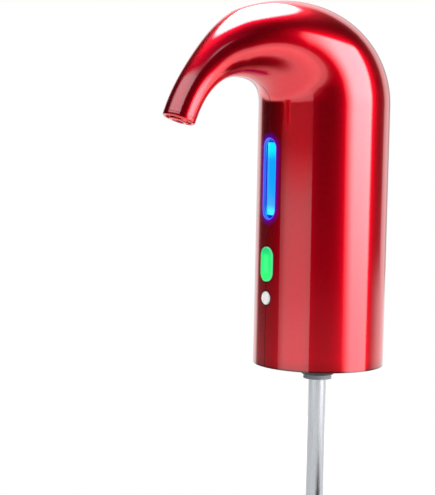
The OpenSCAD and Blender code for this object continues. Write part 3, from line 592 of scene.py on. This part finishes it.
def lacquer_finish(body, sizes, colours):
    """Metallic red lacquer under a clear coat, with painted shade at its foot, round the buttons and in the
    seam at the crook, and the lit window's glow painted round the window.
    """
    f = Finish("red lacquer")
    flakes = f.noise(5200, 3.0, 0.7)
    cloud = f.noise(38, 2.0)
    base = f.ramp(flakes, [(0.35, colours.lacquer_deep), (0.65, colours.lacquer)])
    base = f.mix(f.span(cloud, 0.3, 0.7, 0.0, 0.12), base, colours.lacquer_deep)
    x, y, z = f.axes()
    # Painted shade: darker towards the bottom rim, with a dark line right along it
    base = f.mix(f.span(z, *FOOT_SHADE, 0.25, 0.0), base, colours.lacquer_painted_shade)
    base = f.mix(f.span(z, *PAINTED_FOOT_LINE, 0.9, 0.0), base, colours.lacquer_painted_shade)
    front = f.math("LESS_THAN", x, FRONT_X)
    # Painted shade along the real seam groove, only at the front of the crook
    crook = f.math("MULTIPLY", f.span(z, *SEAM_SHADE_TOP, 1.0, 0.0), f.span(x, *SEAM_SHADE_REACH))
    seam = f.span(f.math("ABSOLUTE", y), *SEAM_SHADE_LINE, 0.95, 0.0)
    seam = f.math("MULTIPLY", seam, f.math("MULTIPLY", crook, front))
    base = f.mix(seam, base, colours.lacquer_seam_shade)
    # Painted shade in the gaps round the power and mode buttons
    for at, wide, high in ((sizes.power_z, sizes.power_w, sizes.power_h),
                           (sizes.mode_z, sizes.mode_d, sizes.mode_d)):
        reach = f.slot_distance(y, z, at, wide, high)
        edge = f.span(reach, *(wide / 2 + rim for rim in PAINTED_RIM_SHADE), 0.85, 0.0)
        base = f.mix(f.math("MULTIPLY", edge, front), base, colours.lacquer_painted_shade)
    fullness = f.bump(arch_fullness(f, body, x, z), 1.0, 1.0)
    peel = f.bump(f.noise(620, 2.0), 0.05, 0.00004, fullness)
    rough = f.choose(seam, f.span(flakes, 0.3, 0.7, 0.25, 0.36), 0.6)
    f.set(Base_Color=base, Metallic=1.0, Roughness=rough, Coat_Weight=1.0, Coat_Roughness=0.02, Coat_IOR=1.75,
          Normal=peel, Coat_Normal=peel)
    # Painted glow: the lacquer itself emits the window's light round the window
    reach = f.slot_distance(y, z, sizes.window_z, sizes.window_w, sizes.window_h)
    glow = f.span(reach, *(sizes.window_w / 2 + halo for halo in HALO_REACH), 1.0, 0.0)
    glow = f.math("MULTIPLY", glow, front)
    f.set(Emission_Color=colours.window_halo, Emission_Strength=f.math("MULTIPLY", glow, glow))
    return f.material


def window_finish(sizes, colours, panel_x):
    """Tray lit from behind: bright panel with cyan ends, deep blue painted shade on the floor round it, and
    walls with painted light, paler towards the lip.
    """
    f = Finish("lit window")
    x, _, z = f.axes()
    along = f.math("SUBTRACT", z, sizes.window_z)
    half = sizes.window_h / 2
    ends = f.math("MAXIMUM", f.span(along, half * 0.40, half * 0.74),
                  f.span(along, -half * 0.80, -half * 0.60, 1.0, 0.0))
    spot = f.noise(900, 2.0)
    panel = f.mix(ends, colours.window_core, colours.window_end)
    panel = f.mix(f.span(spot, 0.35, 0.65, 0.0, 0.10), panel, colours.window_deep)
    # Painted shade on the floor round the panel, and painted light on the walls towards the lip
    wall = f.mix(f.span(x, panel_x, panel_x - 0.0014), colours.window_wall, colours.window_lip_lit)
    tint = f.mix(f.span(x, panel_x + 0.00006, panel_x + 0.00012), panel, colours.window_floor_shade)
    tint = f.mix(f.span(x, panel_x - 0.00012, panel_x - 0.00006, 1.0, 0.0), tint, wall)
    glass = f.ramp(spot, [(0.3, (0.004, 0.01, 0.12)), (0.7, (0.008, 0.02, 0.2))])
    f.set(Base_Color=glass, Roughness=0.12, Emission_Color=tint, Emission_Strength=1.0,
          Normal=f.bump(spot, 0.05, 0.00005))
    return f.material


def power_finish(sizes, colours):
    """Green button lit from behind, palest in the middle and along its edge."""
    f = Finish("lit green button")
    _, y, z = f.axes()
    along = f.math("DIVIDE", f.math("SUBTRACT", z, sizes.power_z), sizes.power_h)
    share = f.slot_distance(y, z, sizes.power_z, sizes.power_w, sizes.power_h)
    share = f.math("DIVIDE", share, sizes.power_w / 2)
    body = f.ramp(f.math("ADD", along, 0.5), [(0.12, colours.power_low), (0.45, colours.power_edge),
                                              (0.70, colours.power_edge), (0.92, colours.power_top)], "EASE")
    middle = f.math("MULTIPLY", f.span(share, 0.05, 0.75, 1.0, 0.0),
                    f.span(f.math("ABSOLUTE", along), 0.18, 0.34, 1.0, 0.0))
    tint = f.mix(middle, body, colours.power_core)
    grain = f.noise(1500, 2.0)
    tint = f.mix(f.span(grain, 0.3, 0.7, 0.0, 0.08), tint, colours.power_low)
    tint = f.mix(f.span(share, 0.82, 0.93), tint, colours.power_rim)
    plastic = f.ramp(grain, [(0.3, (0.01, 0.08, 0.03)), (0.7, (0.02, 0.12, 0.05))])
    f.set(Base_Color=plastic, Roughness=0.3, Specular_IOR_Level=0.3, Emission_Color=tint, Emission_Strength=1.0,
          Normal=f.bump(grain, 0.05, 0.00004))
    return f.material


def speckled(name, tint, rough, scale, depth, spread, strength=0.2, **more):
    """Moulded or cast surface: slight colour speckle, uneven gloss and a fine texture."""
    f = Finish(name)
    grain = f.noise(scale, 3.0, 0.6)
    cloud = f.noise(scale / 25, 2.0)
    dark = tuple(c * (1 - spread) for c in tint)
    light = tuple(min(1.0, c * (1 + spread)) for c in tint)
    both = f.math("MULTIPLY", f.math("ADD", grain, cloud), 0.5)
    f.set(Base_Color=f.ramp(both, [(0.35, dark), (0.65, light)]),
          Roughness=f.span(cloud, 0.3, 0.7, rough - 0.06, rough + 0.06),
          Normal=f.bump(grain, strength, depth), **more)
    return f.material


def brushed(name, tint, rough, along=(1, 1, 0.02), scale=2500):
    """Metal with fine drawn lines."""
    f = Finish(name)
    lines = f.noise(scale, 3.0, 0.6, f.mapped(scale=along))
    dark = tuple(c * 0.86 for c in tint)
    light = tuple(min(1.0, c * 1.08) for c in tint)
    f.set(Base_Color=f.ramp(lines, [(0.3, dark), (0.7, light)]), Metallic=1.0,
          Roughness=f.span(lines, 0.3, 0.7, rough - 0.05, rough + 0.07), Normal=f.bump(lines, 0.12, 0.00003))
    return f.material


# Studio

VIEW = math.radians(36.376)
TOWARD = Vector((-math.sin(VIEW), -math.cos(VIEW), 0))
RIGHT = Vector((math.cos(VIEW), -math.sin(VIEW), 0))
UP = Vector((0, 0, 1))
FOCUS = Vector((-0.015, 0, 0.09))


def bearing(psi, rise=0.0):
    """Direction at an angle to the right of the camera's and an angle above the horizon, in degrees."""
    psi, rise = math.radians(psi), math.radians(rise)
    return (TOWARD * math.cos(psi) + RIGHT * math.sin(psi)) * math.cos(rise) + UP * math.sin(rise)


def lay_floor(light):
    """Pale round floor that looks white and keeps the object's shadow."""
    deselect()
    bpy.ops.mesh.primitive_circle_add(vertices=128, radius=1.2, fill_type="NGON",
                                      location=(0, 0, light.floor_z))
    floor = settle(start("floor"))
    edit(floor, "FACE")
    bpy.ops.mesh.select_all(action="SELECT")
    bpy.ops.mesh.inset(thickness=0.6)
    done()
    f = Finish("pale floor")
    x, y, _ = f.axes()
    white = f.span(f.hypot(x, y), 0.5, 1.1, light.floor_glow, 0.72)
    f.set(Base_Color=f.ramp(f.noise(60, 3.0), [(0.3, 0.50), (0.7, 0.54)]), Roughness=0.8,
          Specular_IOR_Level=0.2, Emission_Color=(1, 1, 1),
          Emission_Strength=f.math("MULTIPLY", f.seen(), white))
    floor.data.materials.append(f.material)


def paint_room(scene, light):
    """White backdrop for the eye, dim room with a white rear wall for the gloss, even light for the rest."""
    world = bpy.data.worlds.new("studio")
    scene.world = world
    world.use_nodes = True
    n = Nodes(world.node_tree)
    way = n.add("ShaderNodeTexCoord").outputs["Generated"]
    _, _, rise = n.split(way)
    behind = n.dot(way, -TOWARD)
    wall = n.dot(way, bearing(174))
    wall = n.math("MULTIPLY", n.span(wall, 0.66, 0.76), n.span(wall, 0.90, 0.985, 1.0, 0.4))
    table = n.math("MULTIPLY", n.span(behind, 0.1, 0.6), n.span(n.dot(way, RIGHT), -0.3, 0.3))
    table = n.math("MULTIPLY", table, n.span(rise, -0.125, -0.075, 1.0, 0.0))
    ground = n.math("MAXIMUM", n.span(rise, -0.24, -0.15, 1.0, 0.0), n.span(rise, -0.16, -0.09, 0.1, 0.0))
    gloss = n.math("MAXIMUM", n.math("MAXIMUM", wall, table), n.math("MAXIMUM", ground, 0.004))
    path = n.add("ShaderNodeLightPath").outputs
    strength = n.choose(path["Is Glossy Ray"], light.ambient, gloss)
    strength = n.choose(path["Is Transmission Ray"], strength, 1.0)
    strength = n.choose(path["Is Camera Ray"], strength, 1.0)
    sky = n.tree.nodes["Background"]
    n.feed(sky.inputs["Strength"], strength)
    n.feed(sky.inputs["Color"], (1, 1, 1))


def hang_softbox(name, centre, across, up, wide, high, radiance, soft, low_share=0.0, lean=(0.0, 0.0),
                 tint=(1, 1, 1)):
    """Area lamp with soft borders.

    The borders are shares of its width and height, as left, right, low and high, or one number for an oval.
    The lean moves the lower end of its picture to the right, and draws in the upper end of its left border.
    """
    deselect()
    bpy.ops.object.light_add(type="AREA", location=centre)
    lamp = bpy.context.object
    lamp.name = name
    lamp.rotation_euler = Matrix((across, up, across.cross(up))).transposed().to_euler()
    lamp.data.shape = "RECTANGLE"
    lamp.data.size, lamp.data.size_y = wide, high
    lamp.data.energy = radiance * math.pi * wide * high
    lamp.visible_camera = False
    lamp.data.use_nodes = True
    n = Nodes(lamp.data.node_tree)
    u, v, _ = n.split(n.add("ShaderNodeNewGeometry").outputs["Parametric"])
    if isinstance(soft, float):
        reach = n.hypot(n.math("SUBTRACT", u, 0.5), n.math("SUBTRACT", v, 0.5))
        strength = n.span(reach, 0.5 - soft, 0.5, 1.0, 0.0)
    else:
        left, right, low, top = soft
        u = n.math("SUBTRACT", u, n.span(v, 0.0, 0.35, lean[0], 0.0, False))
        inner = n.math("SUBTRACT", u, n.span(v, 0.6, 1.0, 0.0, lean[1]))
        strength = n.math("MULTIPLY", n.span(inner, 0.0, left), n.span(u, 1.0 - right, 1.0, 1.0, 0.0))
        strength = n.math("MULTIPLY", strength, n.span(v, 0.0, low, low_share, 1.0))
        strength = n.math("MULTIPLY", strength, n.span(v, 1.0 - top, 1.0, 1.0, 0.0))
    n.feed(n.tree.nodes["Emission"].inputs["Strength"], strength)
    n.feed(n.tree.nodes["Emission"].inputs["Color"], tint)
    return lamp


def hang_overhead(name, radiance, tint=(1, 1, 1)):
    """Oval softbox above the arch, longest to the rear."""
    centre = FOCUS - RIGHT * 0.24 - TOWARD * 0.27 + UP * 1.07
    return hang_softbox(name, centre, RIGHT, UP.cross(RIGHT), 1.29, 1.60, radiance, 0.1, tint=tint)


def stand_softbox(name, psi, rise, distance, wide, high, radiance, soft, slide=0.0, **more):
    """Softbox that faces the object from a bearing, slid to its right by a length."""
    way = bearing(psi, rise)
    across = UP.cross(way).normalized()
    centre = FOCUS + way * distance + across * slide
    return hang_softbox(name, centre, across, way.cross(across), wide, high, radiance, soft, **more)


def stand_low_card(light):
    """Upright card at the front left, bright below and fading upwards."""
    deselect()
    bpy.ops.mesh.primitive_plane_add(size=1)
    card = start("low_card")
    way = bearing(-46)
    across = UP.cross(way)
    lean = Quaternion((0, 0, 1), math.radians(13))
    card.rotation_euler = (way.to_track_quat("Z", "Y") @ lean).to_euler()
    card.scale = (1.20, 0.60, 1)
    card.location = way * 1.1 + UP * -0.08
    settle(card)
    edit(card)
    bpy.ops.mesh.select_all(action="SELECT")
    bpy.ops.mesh.subdivide(number_cuts=3)
    done()
    f = Finish("low card")
    x, y, z = f.axes()
    glow = f.math("ADD", f.span(z, -0.015, 0.075, light.low_card, 0.05), f.span(z, -0.16, -0.08, 0.3, 0.0))
    along = f.math("ADD", f.math("MULTIPLY", x, across.x), f.math("MULTIPLY", y, across.y))
    glow = f.math("MULTIPLY", glow, f.span(along, -0.6, -0.28, 0.5, 1.0))
    warm = f.mix(f.span(z, 0.0, 0.08), (0.8, 1, 1), (5.0, 1.0, 1.0))
    f.set(Base_Color=f.ramp(f.noise(40), [(0.3, 0.02), (0.7, 0.03)]), Roughness=0.8, Emission_Color=warm,
          Emission_Strength=glow)
    card.data.materials.append(f.material)
    card.visible_camera = False
    card.visible_shadow = False


def lay_flag(light):
    """Dark flag low at the right, which only the gloss sees: it shades the underside of the spout."""
    deselect()
    centre = TOWARD * 0.15 + RIGHT * 0.20
    bpy.ops.mesh.primitive_circle_add(vertices=64, radius=0.26, fill_type="NGON",
                                      location=centre + UP * (light.floor_z + 0.002))
    flag = settle(start("dark_flag"))
    edit(flag, "FACE")
    bpy.ops.mesh.select_all(action="SELECT")
    bpy.ops.mesh.inset(thickness=0.08)
    done()
    f = Finish("dark flag")
    x, y, _ = f.axes()
    reach = f.hypot(f.math("SUBTRACT", x, centre.x), f.math("SUBTRACT", y, centre.y))
    f.set(Base_Color=f.ramp(f.noise(60), [(0.3, 0.01), (0.7, 0.02)]), Roughness=0.9, Specular_IOR_Level=0.0,
          Alpha=f.span(reach, 0.12, 0.25, 1.0, 0.0))
    flag.data.materials.append(f.material)
    flag.visible_camera = False
    flag.visible_diffuse = False
    flag.visible_transmission = False
    flag.visible_shadow = False


def set_camera(scene):
    """Camera at the photograph's viewing angle."""
    distance, height, lens = 0.71582, 0.11551, 113.07
    pitch, roll, aim = math.radians(5.028), math.radians(1.147), VIEW + math.radians(-3.81)
    ahead = Vector((math.sin(aim) * math.cos(pitch), math.cos(aim) * math.cos(pitch), -math.sin(pitch)))
    side = Vector((math.cos(aim), -math.sin(aim), 0))
    up = side.cross(ahead)
    across = side * math.cos(roll) + up * math.sin(roll)
    upright = up * math.cos(roll) - side * math.sin(roll)
    deselect()
    bpy.ops.object.camera_add(location=TOWARD * distance + UP * height)
    camera = bpy.context.object
    camera.name = "camera"
    camera.rotation_euler = Matrix((across, upright, -ahead)).transposed().to_euler()
    camera.data.sensor_width = 36.0
    camera.data.lens = lens
    camera.data.clip_start = 0.01
    scene.camera = camera


# Operators

class AERATOR_OT_shells(bpy.types.Operator):
    """Sweep half of the cane-shaped body, give it its wall and openings, and mirror it"""
    bl_idname = "aerator.shells"
    bl_label = "Shells"

    def execute(self, context):
        s, front = context.scene.aerator_body, context.scene.aerator_front
        deselect()
        bpy.ops.mesh.primitive_circle_add(vertices=2 * RING, radius=s.radius, fill_type="NOTHING")
        shell = start("shell_right")
        edit(shell)
        pick_points(shell, lambda co: co.y < -1e-6)
        bpy.ops.mesh.delete(type="VERT")
        bpy.ops.mesh.select_all(action="SELECT")
        turns = [s.end_turn * i / ARCH_STEPS for i in range(ARCH_STEPS + 1)]
        centre, size, facing = Vector((0, 0, 0)), s.radius, 0.0
        for a in turns:
            there, r = ring_centre(s, a), ring_radius(s, a)
            bpy.ops.mesh.extrude_region_move(TRANSFORM_OT_translate={"value": there - centre})
            if a > facing:
                bpy.ops.transform.rotate(value=a - facing, orient_axis="Y", center_override=there)
                bpy.ops.transform.resize(value=(r / size,) * 3, center_override=there)
            centre, size, facing = there, r, a
        bpy.ops.mesh.select_all(action="SELECT")
        bpy.ops.mesh.normals_make_consistent(inside=False)
        mesh = bmesh.from_edit_mesh(shell.data)
        side = max(mesh.faces, key=lambda f: f.calc_center_median().y)
        if side.normal.y < 0:
            bpy.ops.mesh.flip_normals()
        done()
        guide = skin_guide(shell)
        finish_with(shell, "SOLIDIFY", "wall", thickness=s.wall, offset=-1.0, use_even_offset=True)
        edit(shell)
        pick_points(shell, lambda co: co.y < 0.0003)
        bpy.ops.transform.resize(value=(1, 0, 1), center_override=(0, 0, 0))
        done()
        tidy(shell)
        inside, outside = s.radius * 0.8, s.radius + 0.003
        cut(shell, slot_bar("window_cut", front.window_z, front.window_w, front.window_h, inside, outside))
        cut(shell, slot_bar("power_cut", front.power_z, front.power_w, front.power_h, inside, outside))
        cut(shell, slot_bar("mode_cut", front.mode_z, front.mode_d, front.mode_d, inside, outside))
        cut(shell, slot_bar("port_cut", front.port_z, front.port_w, front.port_h, inside, outside, side=1))
        soften(shell, s.seam, 40)
        other = mirrored(shell, "shell_left")
        other_guide = mirrored(guide, "shell_left_guide")
        follow_guide(smooth(shell, 40), guide)
        follow_guide(smooth(other, 40), other_guide)
        lacquer = lacquer_finish(s, front, context.scene.aerator_finish)
        place(shell, "housing", "red_lacquer", lacquer, "right_shell")
        place(other, "housing", "red_lacquer", lacquer, "left_shell")
        return {"FINISHED"}


class AERATOR_OT_light_window(bpy.types.Operator):
    """Cut the lit window's tray to the body's curve and sink its floor"""
    bl_idname = "aerator.light_window"
    bl_label = "Light window"

    def execute(self, context):
        s, w = context.scene.aerator_body, context.scene.aerator_front
        low, high = w.window_z - w.window_h, w.window_z + w.window_h
        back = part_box("light_window")[1].x
        tray = slot_bar("lit_window", w.window_z, w.window_w - 0.0001, w.window_h - 0.0001, -back,
                        s.radius + 0.002)
        cut(tray, drum("window_curve", s.radius - 0.0001, low, high), "INTERSECT")
        rim = 2 * w.window_rim
        cut(tray, slot_bar("window_sink", w.window_z, w.window_w - rim, w.window_h - rim,
                           s.radius - w.window_depth, s.radius + 0.003))
        floor_x = s.radius - w.window_depth
        deselect()
        bpy.ops.mesh.primitive_plane_add(size=1, location=(-floor_x + 0.0005, 0, w.window_z),
                                         rotation=(0, -math.pi / 2, 0))
        panel = start("window_panel")
        panel.scale = (w.panel_h, w.panel_w, 1)
        settle(panel)
        edit(panel)
        bpy.ops.mesh.select_all(action="SELECT")
        bpy.ops.mesh.bevel(offset=0.0006, segments=4, affect="VERTICES")
        bpy.ops.mesh.extrude_region_move(TRANSFORM_OT_translate={"value": (-0.0005 - w.panel_t, 0, 0)})
        done()
        cut(tray, tidy(panel), "UNION")
        soften(tray, 0.00006, 40)
        smooth(tray, 40)
        blue = window_finish(w, context.scene.aerator_finish, -floor_x - w.panel_t)
        place(tray, "housing", "blue_window", blue, "light_window")
        tray.visible_glossy = False
        return {"FINISHED"}


class AERATOR_OT_power_button(bpy.types.Operator):
    """Cut the long green button to the body's curve and pillow its face"""
    bl_idname = "aerator.power_button"
    bl_label = "Power button"

    def execute(self, context):
        s, w = context.scene.aerator_body, context.scene.aerator_front
        wide, high = w.power_w - 2 * w.gap, w.power_h - 2 * w.gap
        button = slot_bar("lit_power_button", w.power_z, wide, high, s.radius - 0.004, s.radius + 0.003)
        cut(button, drum("power_curve", s.radius + w.proud, w.power_z - high, w.power_z + high), "INTERSECT")
        soften(button, 0.0007, 40, 4)
        smooth(button, 50)
        green = power_finish(w, context.scene.aerator_finish)
        place(button, "power_button", "green_button", green, "power_button")
        return {"FINISHED"}


class AERATOR_OT_mode_button(bpy.types.Operator):
    """Spin the small white button with its rounded rim and dished face"""
    bl_idname = "aerator.mode_button"
    bl_label = "Mode button"

    def execute(self, context):
        s, w = context.scene.aerator_body, context.scene.aerator_front
        r, face = w.mode_d / 2 - w.gap, s.radius + w.proud
        dish = [(r * k, face - 0.00042 * (1 - (k / 0.72) ** 2)) for k in (0.72, 0.6, 0.45, 0.3, 0.15, 0.0)]
        profile = [(0.0, s.radius - 0.004), (r, s.radius - 0.004), (r, face - 0.00055),
                   (r * 0.97, face - 0.0003), (r * 0.92, face - 0.0001), (r * 0.85, face)] + dish
        button = lathe("dished_mode_button", profile, (0, 0, w.mode_z), (-1, 0, 0), (0, 0, 1), 64, closed=False)
        smooth(button, 50)
        tint = tuple(context.scene.aerator_finish.mode_white)
        white = speckled("white button", tint, 0.3, 1400, 0.00003, 0.04, strength=0.1)
        place(button, "mode_button", "white_button", white, "mode_button")
        return {"FINISHED"}


class AERATOR_OT_spout_ring(bpy.types.Operator):
    """Spin the lacquered ring at the spout's end"""
    bl_idname = "aerator.spout_ring"
    bl_label = "Spout ring"

    def execute(self, context):
        s, e = context.scene.aerator_body, context.scene.aerator_end
        origin, along, out = spout_end(s)
        ro, rn, h = s.tip_radius - 0.00002, e.nozzle_r, e.ring_h
        rw = ro - s.wall - 0.0003
        profile = [(rn + 0.00002, -0.004), (rw, -0.004), (rw, 0.0), (ro - 0.00022, 0.0), (ro, 0.00022),
                   (ro, h - 0.0007), (ro - 0.00008, h - 0.0004), (ro - 0.00025, h - 0.00018),
                   (ro - 0.0005, h - 0.00004), (ro - 0.0008, h), (ro - 0.0011, h - 0.00008),
                   (ro - 0.0014, h - 0.0004), (ro - 0.0016, h - 0.0010), (rn + 0.00002, h - 0.0013)]
        ring = lathe("spout_end_ring", profile, origin, along, out, 96)
        smooth(ring, 40)
        lacquer = bpy.data.materials["red lacquer"]
        place(ring, "housing", "red_lacquer", lacquer, "spout_ring")
        return {"FINISHED"}


class AERATOR_OT_nozzle(bpy.types.Operator):
    """Spin the nozzle inside the end ring"""
    bl_idname = "aerator.nozzle"
    bl_label = "Aerator nozzle"

    def execute(self, context):
        s, e = context.scene.aerator_body, context.scene.aerator_end
        origin, along, out = spout_end(s)
        rn, ro, h = e.nozzle_r, e.outlet_r, e.ring_h
        bore, neck = 0.00325, 0.002
        profile = [(bore, -0.006), (rn, -0.006), (rn, h + 0.0002), (rn - 0.0001, h + 0.00045),
                   (rn - 0.0003, h + 0.0006), (ro + 0.0003, h + 0.0006), (ro + 0.0001, h + 0.0005),
                   (ro, h + 0.0003), (ro, 0.0), (neck, -0.0024), (neck, -0.003), (bore, -0.003)]
        nozzle = lathe("spout_nozzle", profile, origin, along, out, 72)
        smooth(nozzle, 40)
        place(nozzle, "housing", "adapter_plastic", bpy.data.materials["red lacquer"], "aerator_nozzle")
        return {"FINISHED"}


class AERATOR_OT_stopper(bpy.types.Operator):
    """Spin the ribbed stopper and the ring that seals on the bottle's lip"""
    bl_idname = "aerator.stopper"
    bl_label = "Stopper"

    def execute(self, context):
        e = context.scene.aerator_end
        rl, bore, top = e.land_r, 0.00625, e.socket_depth
        groove, root, root_z = rl - 0.0008, rl + 0.0004, top - 0.003
        profile = [(bore, top), (bore, -0.005), (rl - 0.0019, -0.005), (rl - 0.0016, -0.0047)]
        for k in range(4):
            z = k * e.land_pitch
            profile += [(rl - 0.0003, z - 0.001), (rl - 0.00008, z - 0.0008), (rl, z - 0.0004),
                        (rl, z + 0.0004), (rl - 0.00008, z + 0.0008), (rl - 0.0003, z + 0.001),
                        (groove, z + 0.0012)]
            profile.append((groove, root_z if k == 3 else z + e.land_pitch - 0.0012))
        profile += [(root, root_z), (root, top)]
        plug = lathe("ribbed_stopper", profile, steps=72)
        smooth(plug, 40)
        tint = tuple(context.scene.aerator_finish.silicone)
        rubber = speckled("dark silicone", tint, 0.55, 1600, 0.00004, 0.15, Sheen_Weight=0.2)
        place(plug, "housing", "silicone", rubber, "stopper")
        lo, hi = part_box("lip_gasket")
        r, low, inner = hi.x, lo.z, root + 0.00002
        profile = [(inner, low), (r - 0.0003, low), (r - 0.0001, low + 0.0001), (r, low + 0.0003), (r, hi.z),
                   (inner, hi.z)]
        ring = lathe("lip_ring", profile, steps=72)
        smooth(ring, 40)
        place(ring, "housing", "silicone", rubber, "lip_gasket")
        return {"FINISHED"}


class AERATOR_OT_dip_tube(bpy.types.Operator):
    """Spin the three sections of the telescopic dip tube"""
    bl_idname = "aerator.dip_tube"
    bl_label = "Dip tube"

    def execute(self, context):
        e = context.scene.aerator_end
        steel = brushed("brushed steel", tuple(context.scene.aerator_finish.steel), 0.24)
        r = [e.tube_r - k * e.tube_step for k in range(3)]
        wall, snug = e.tube_wall, 0.00003
        z0 = e.tube_top - e.tube_len
        z1, z2 = z0 - 0.004, z0 - 0.014
        upper = [(r[1] + snug, z0), (r[0] - 0.00015, z0), (r[0], z0 + 0.0003), (r[0], e.tube_top),
                 (r[0] - wall, e.tube_top), (r[0] - wall, z0 + 0.0033), (r[1] + snug, z0 + 0.003)]
        t1 = z1 + e.tube_len
        middle = [(r[2] + snug, z1), (r[0] - 0.0003, z1), (r[0] - 0.0001, z1 + 0.0001), (r[0], z1 + 0.0003),
                  (r[0], z1 + 0.0037), (r[0] - 0.00015, z1 + 0.004), (r[1], z1 + 0.004), (r[1], t1 - 0.003),
                  (r[0] - wall - snug, t1 - 0.0027), (r[0] - wall - snug, t1), (r[1] - wall, t1),
                  (r[1] - wall, z1 + 0.0033), (r[2] + snug, z1 + 0.003)]
        t2 = z2 + e.tube_len
        lower = [(r[2] - wall, z2), (r[2], z2), (r[2], z2 + 0.006), (r[1] - 0.0001, z2 + 0.0061),
                 (r[1], z2 + 0.0063), (r[1], z2 + 0.01), (r[2], z2 + 0.01), (r[2], t2 - 0.003),
                 (r[1] - wall - snug, t2 - 0.0027), (r[1] - wall - snug, t2), (r[2] - wall, t2)]
        for name, body, profile in (("upper", "housing", upper), ("middle", "tube_middle", middle),
                                    ("lower", "tube_lower", lower)):
            tube = lathe("dip_section_" + name, profile, steps=64)
            if name == "lower":
                for a in (0, math.pi / 2):
                    deselect()
                    bpy.ops.mesh.primitive_cylinder_add(vertices=32, radius=0.0016, depth=0.02,
                                                        location=(0, 0, z2), rotation=(math.pi / 2, 0, a))
                    cut(tube, settle(start("foot_notch")))
            smooth(tube, 40)
            place(tube, body, "steel", steel, "dip_tube_" + name)
        return {"FINISHED"}


class AERATOR_OT_inner_finishes(bpy.types.Operator):
    """Give the solids that stay their own finishes"""
    bl_idname = "aerator.inner_finishes"
    bl_label = "Inner finishes"

    def execute(self, context):
        record = frame["record"]
        tints = {m["slot"]: (m["class"], m["base_color"]) for m in record["materials"]}
        metals = {"brushed_steel", "aluminium", "brass", "cast_iron"}
        made = {}
        for part in record["subparts"]:
            node = frame["nodes"][part["node"]]
            if node.hide_render:
                continue
            name = part["material_slot"]
            if name not in made:
                kind, tint = tints[name]
                tint = tuple(v ** 2.2 for v in tint[:3])
                label = name.replace("_", " ") + " inside"
                if kind in metals:
                    made[name] = brushed(label, tint, 0.32, (1, 1, 0.05), 1800)
                elif kind == "rubber":
                    made[name] = speckled(label, tint, 0.5, 1500, 0.00004, 0.1, Sheen_Weight=0.15)
                elif kind == "gloss_plastic":
                    made[name] = speckled(label, tint, 0.2, 1200, 0.00002, 0.08)
                else:
                    made[name] = speckled(label, tint, 0.48, 1100, 0.00005, 0.12)
            node.data.materials.clear()
            node.data.materials.append(made[name])
        return {"FINISHED"}


class AERATOR_OT_stage(bpy.types.Operator):
    """Set up the floor, the room, the softboxes and the camera"""
    bl_idname = "aerator.stage"
    bl_label = "Stage"

    def execute(self, context):
        light = context.scene.aerator_studio
        lay_floor(light)
        paint_room(context.scene, light)
        cool = (0.75, 1.0, 1.0)
        hang_overhead("overhead_softbox", light.overhead, cool).visible_diffuse = False
        hang_overhead("overhead_fill", light.overhead_fill).visible_glossy = False
        stand_softbox("right_softbox", 64.9, 9.5, 1.1, 1.22, 1.04, light.right_box, (0.4, 0.14, 0.5, 0.12),
                      low_share=0.4, lean=(0.06, 0.1))
        panel = stand_softbox("left_panel", -55, 31.5, 0.9, 1.57, 0.44, light.left_panel,
                              (0.24, 0.1, 0.1, 0.14), slide=0.13, tint=(0.35, 1.0, 1.0))
        panel.visible_diffuse = False
        fill = stand_softbox("left_fill", -40, 15, 1.2, 1.6, 1.2, light.left_fill, (0.2, 0.2, 0.2, 0.2))
        fill.visible_glossy = False
        stand_low_card(light)
        lay_flag(light)
        set_camera(context.scene)
        context.scene.view_settings.view_transform = "Standard"
        return {"FINISHED"}


class AERATOR_PT_sidebar(bpy.types.Panel):
    """Sidebar panel with one button for each step"""
    bl_idname = "AERATOR_PT_sidebar"
    bl_label = "Wine aerator"
    bl_space_type = "VIEW_3D"
    bl_region_type = "UI"
    bl_category = "Aerator"

    def draw(self, context):
        for step in STEPS:
            self.layout.operator(step.bl_idname)


GROUPS = (AeratorBodySizes, AeratorFrontSizes, AeratorEndSizes, AeratorFinish, AeratorStudio)
STEPS = (AERATOR_OT_stage, AERATOR_OT_shells, AERATOR_OT_light_window, AERATOR_OT_power_button,
         AERATOR_OT_mode_button, AERATOR_OT_spout_ring, AERATOR_OT_nozzle, AERATOR_OT_stopper,
         AERATOR_OT_dip_tube, AERATOR_OT_inner_finishes)
POINTERS = (("aerator_body", AeratorBodySizes), ("aerator_front", AeratorFrontSizes),
            ("aerator_end", AeratorEndSizes), ("aerator_finish", AeratorFinish),
            ("aerator_studio", AeratorStudio))


def register():
    for group in GROUPS + STEPS + (AERATOR_PT_sidebar,):
        bpy.utils.register_class(group)
    for name, group in POINTERS:
        setattr(bpy.types.Scene, name, bpy.props.PointerProperty(type=group))


def unregister():
    for name, _ in POINTERS:
        delattr(bpy.types.Scene, name)
    for group in reversed(GROUPS + STEPS + (AERATOR_PT_sidebar,)):
        bpy.utils.unregister_class(group)


def main():
    """Build everything in order."""
    register()
    bpy.ops.aerator.stage()
    bpy.ops.aerator.shells()
    bpy.ops.aerator.light_window()
    bpy.ops.aerator.power_button()
    bpy.ops.aerator.mode_button()
    bpy.ops.aerator.spout_ring()
    bpy.ops.aerator.nozzle()
    bpy.ops.aerator.stopper()
    bpy.ops.aerator.dip_tube()
    bpy.ops.aerator.inner_finishes()
    bpy.context.view_layer.update()


if __name__ == "__main__":
    main()
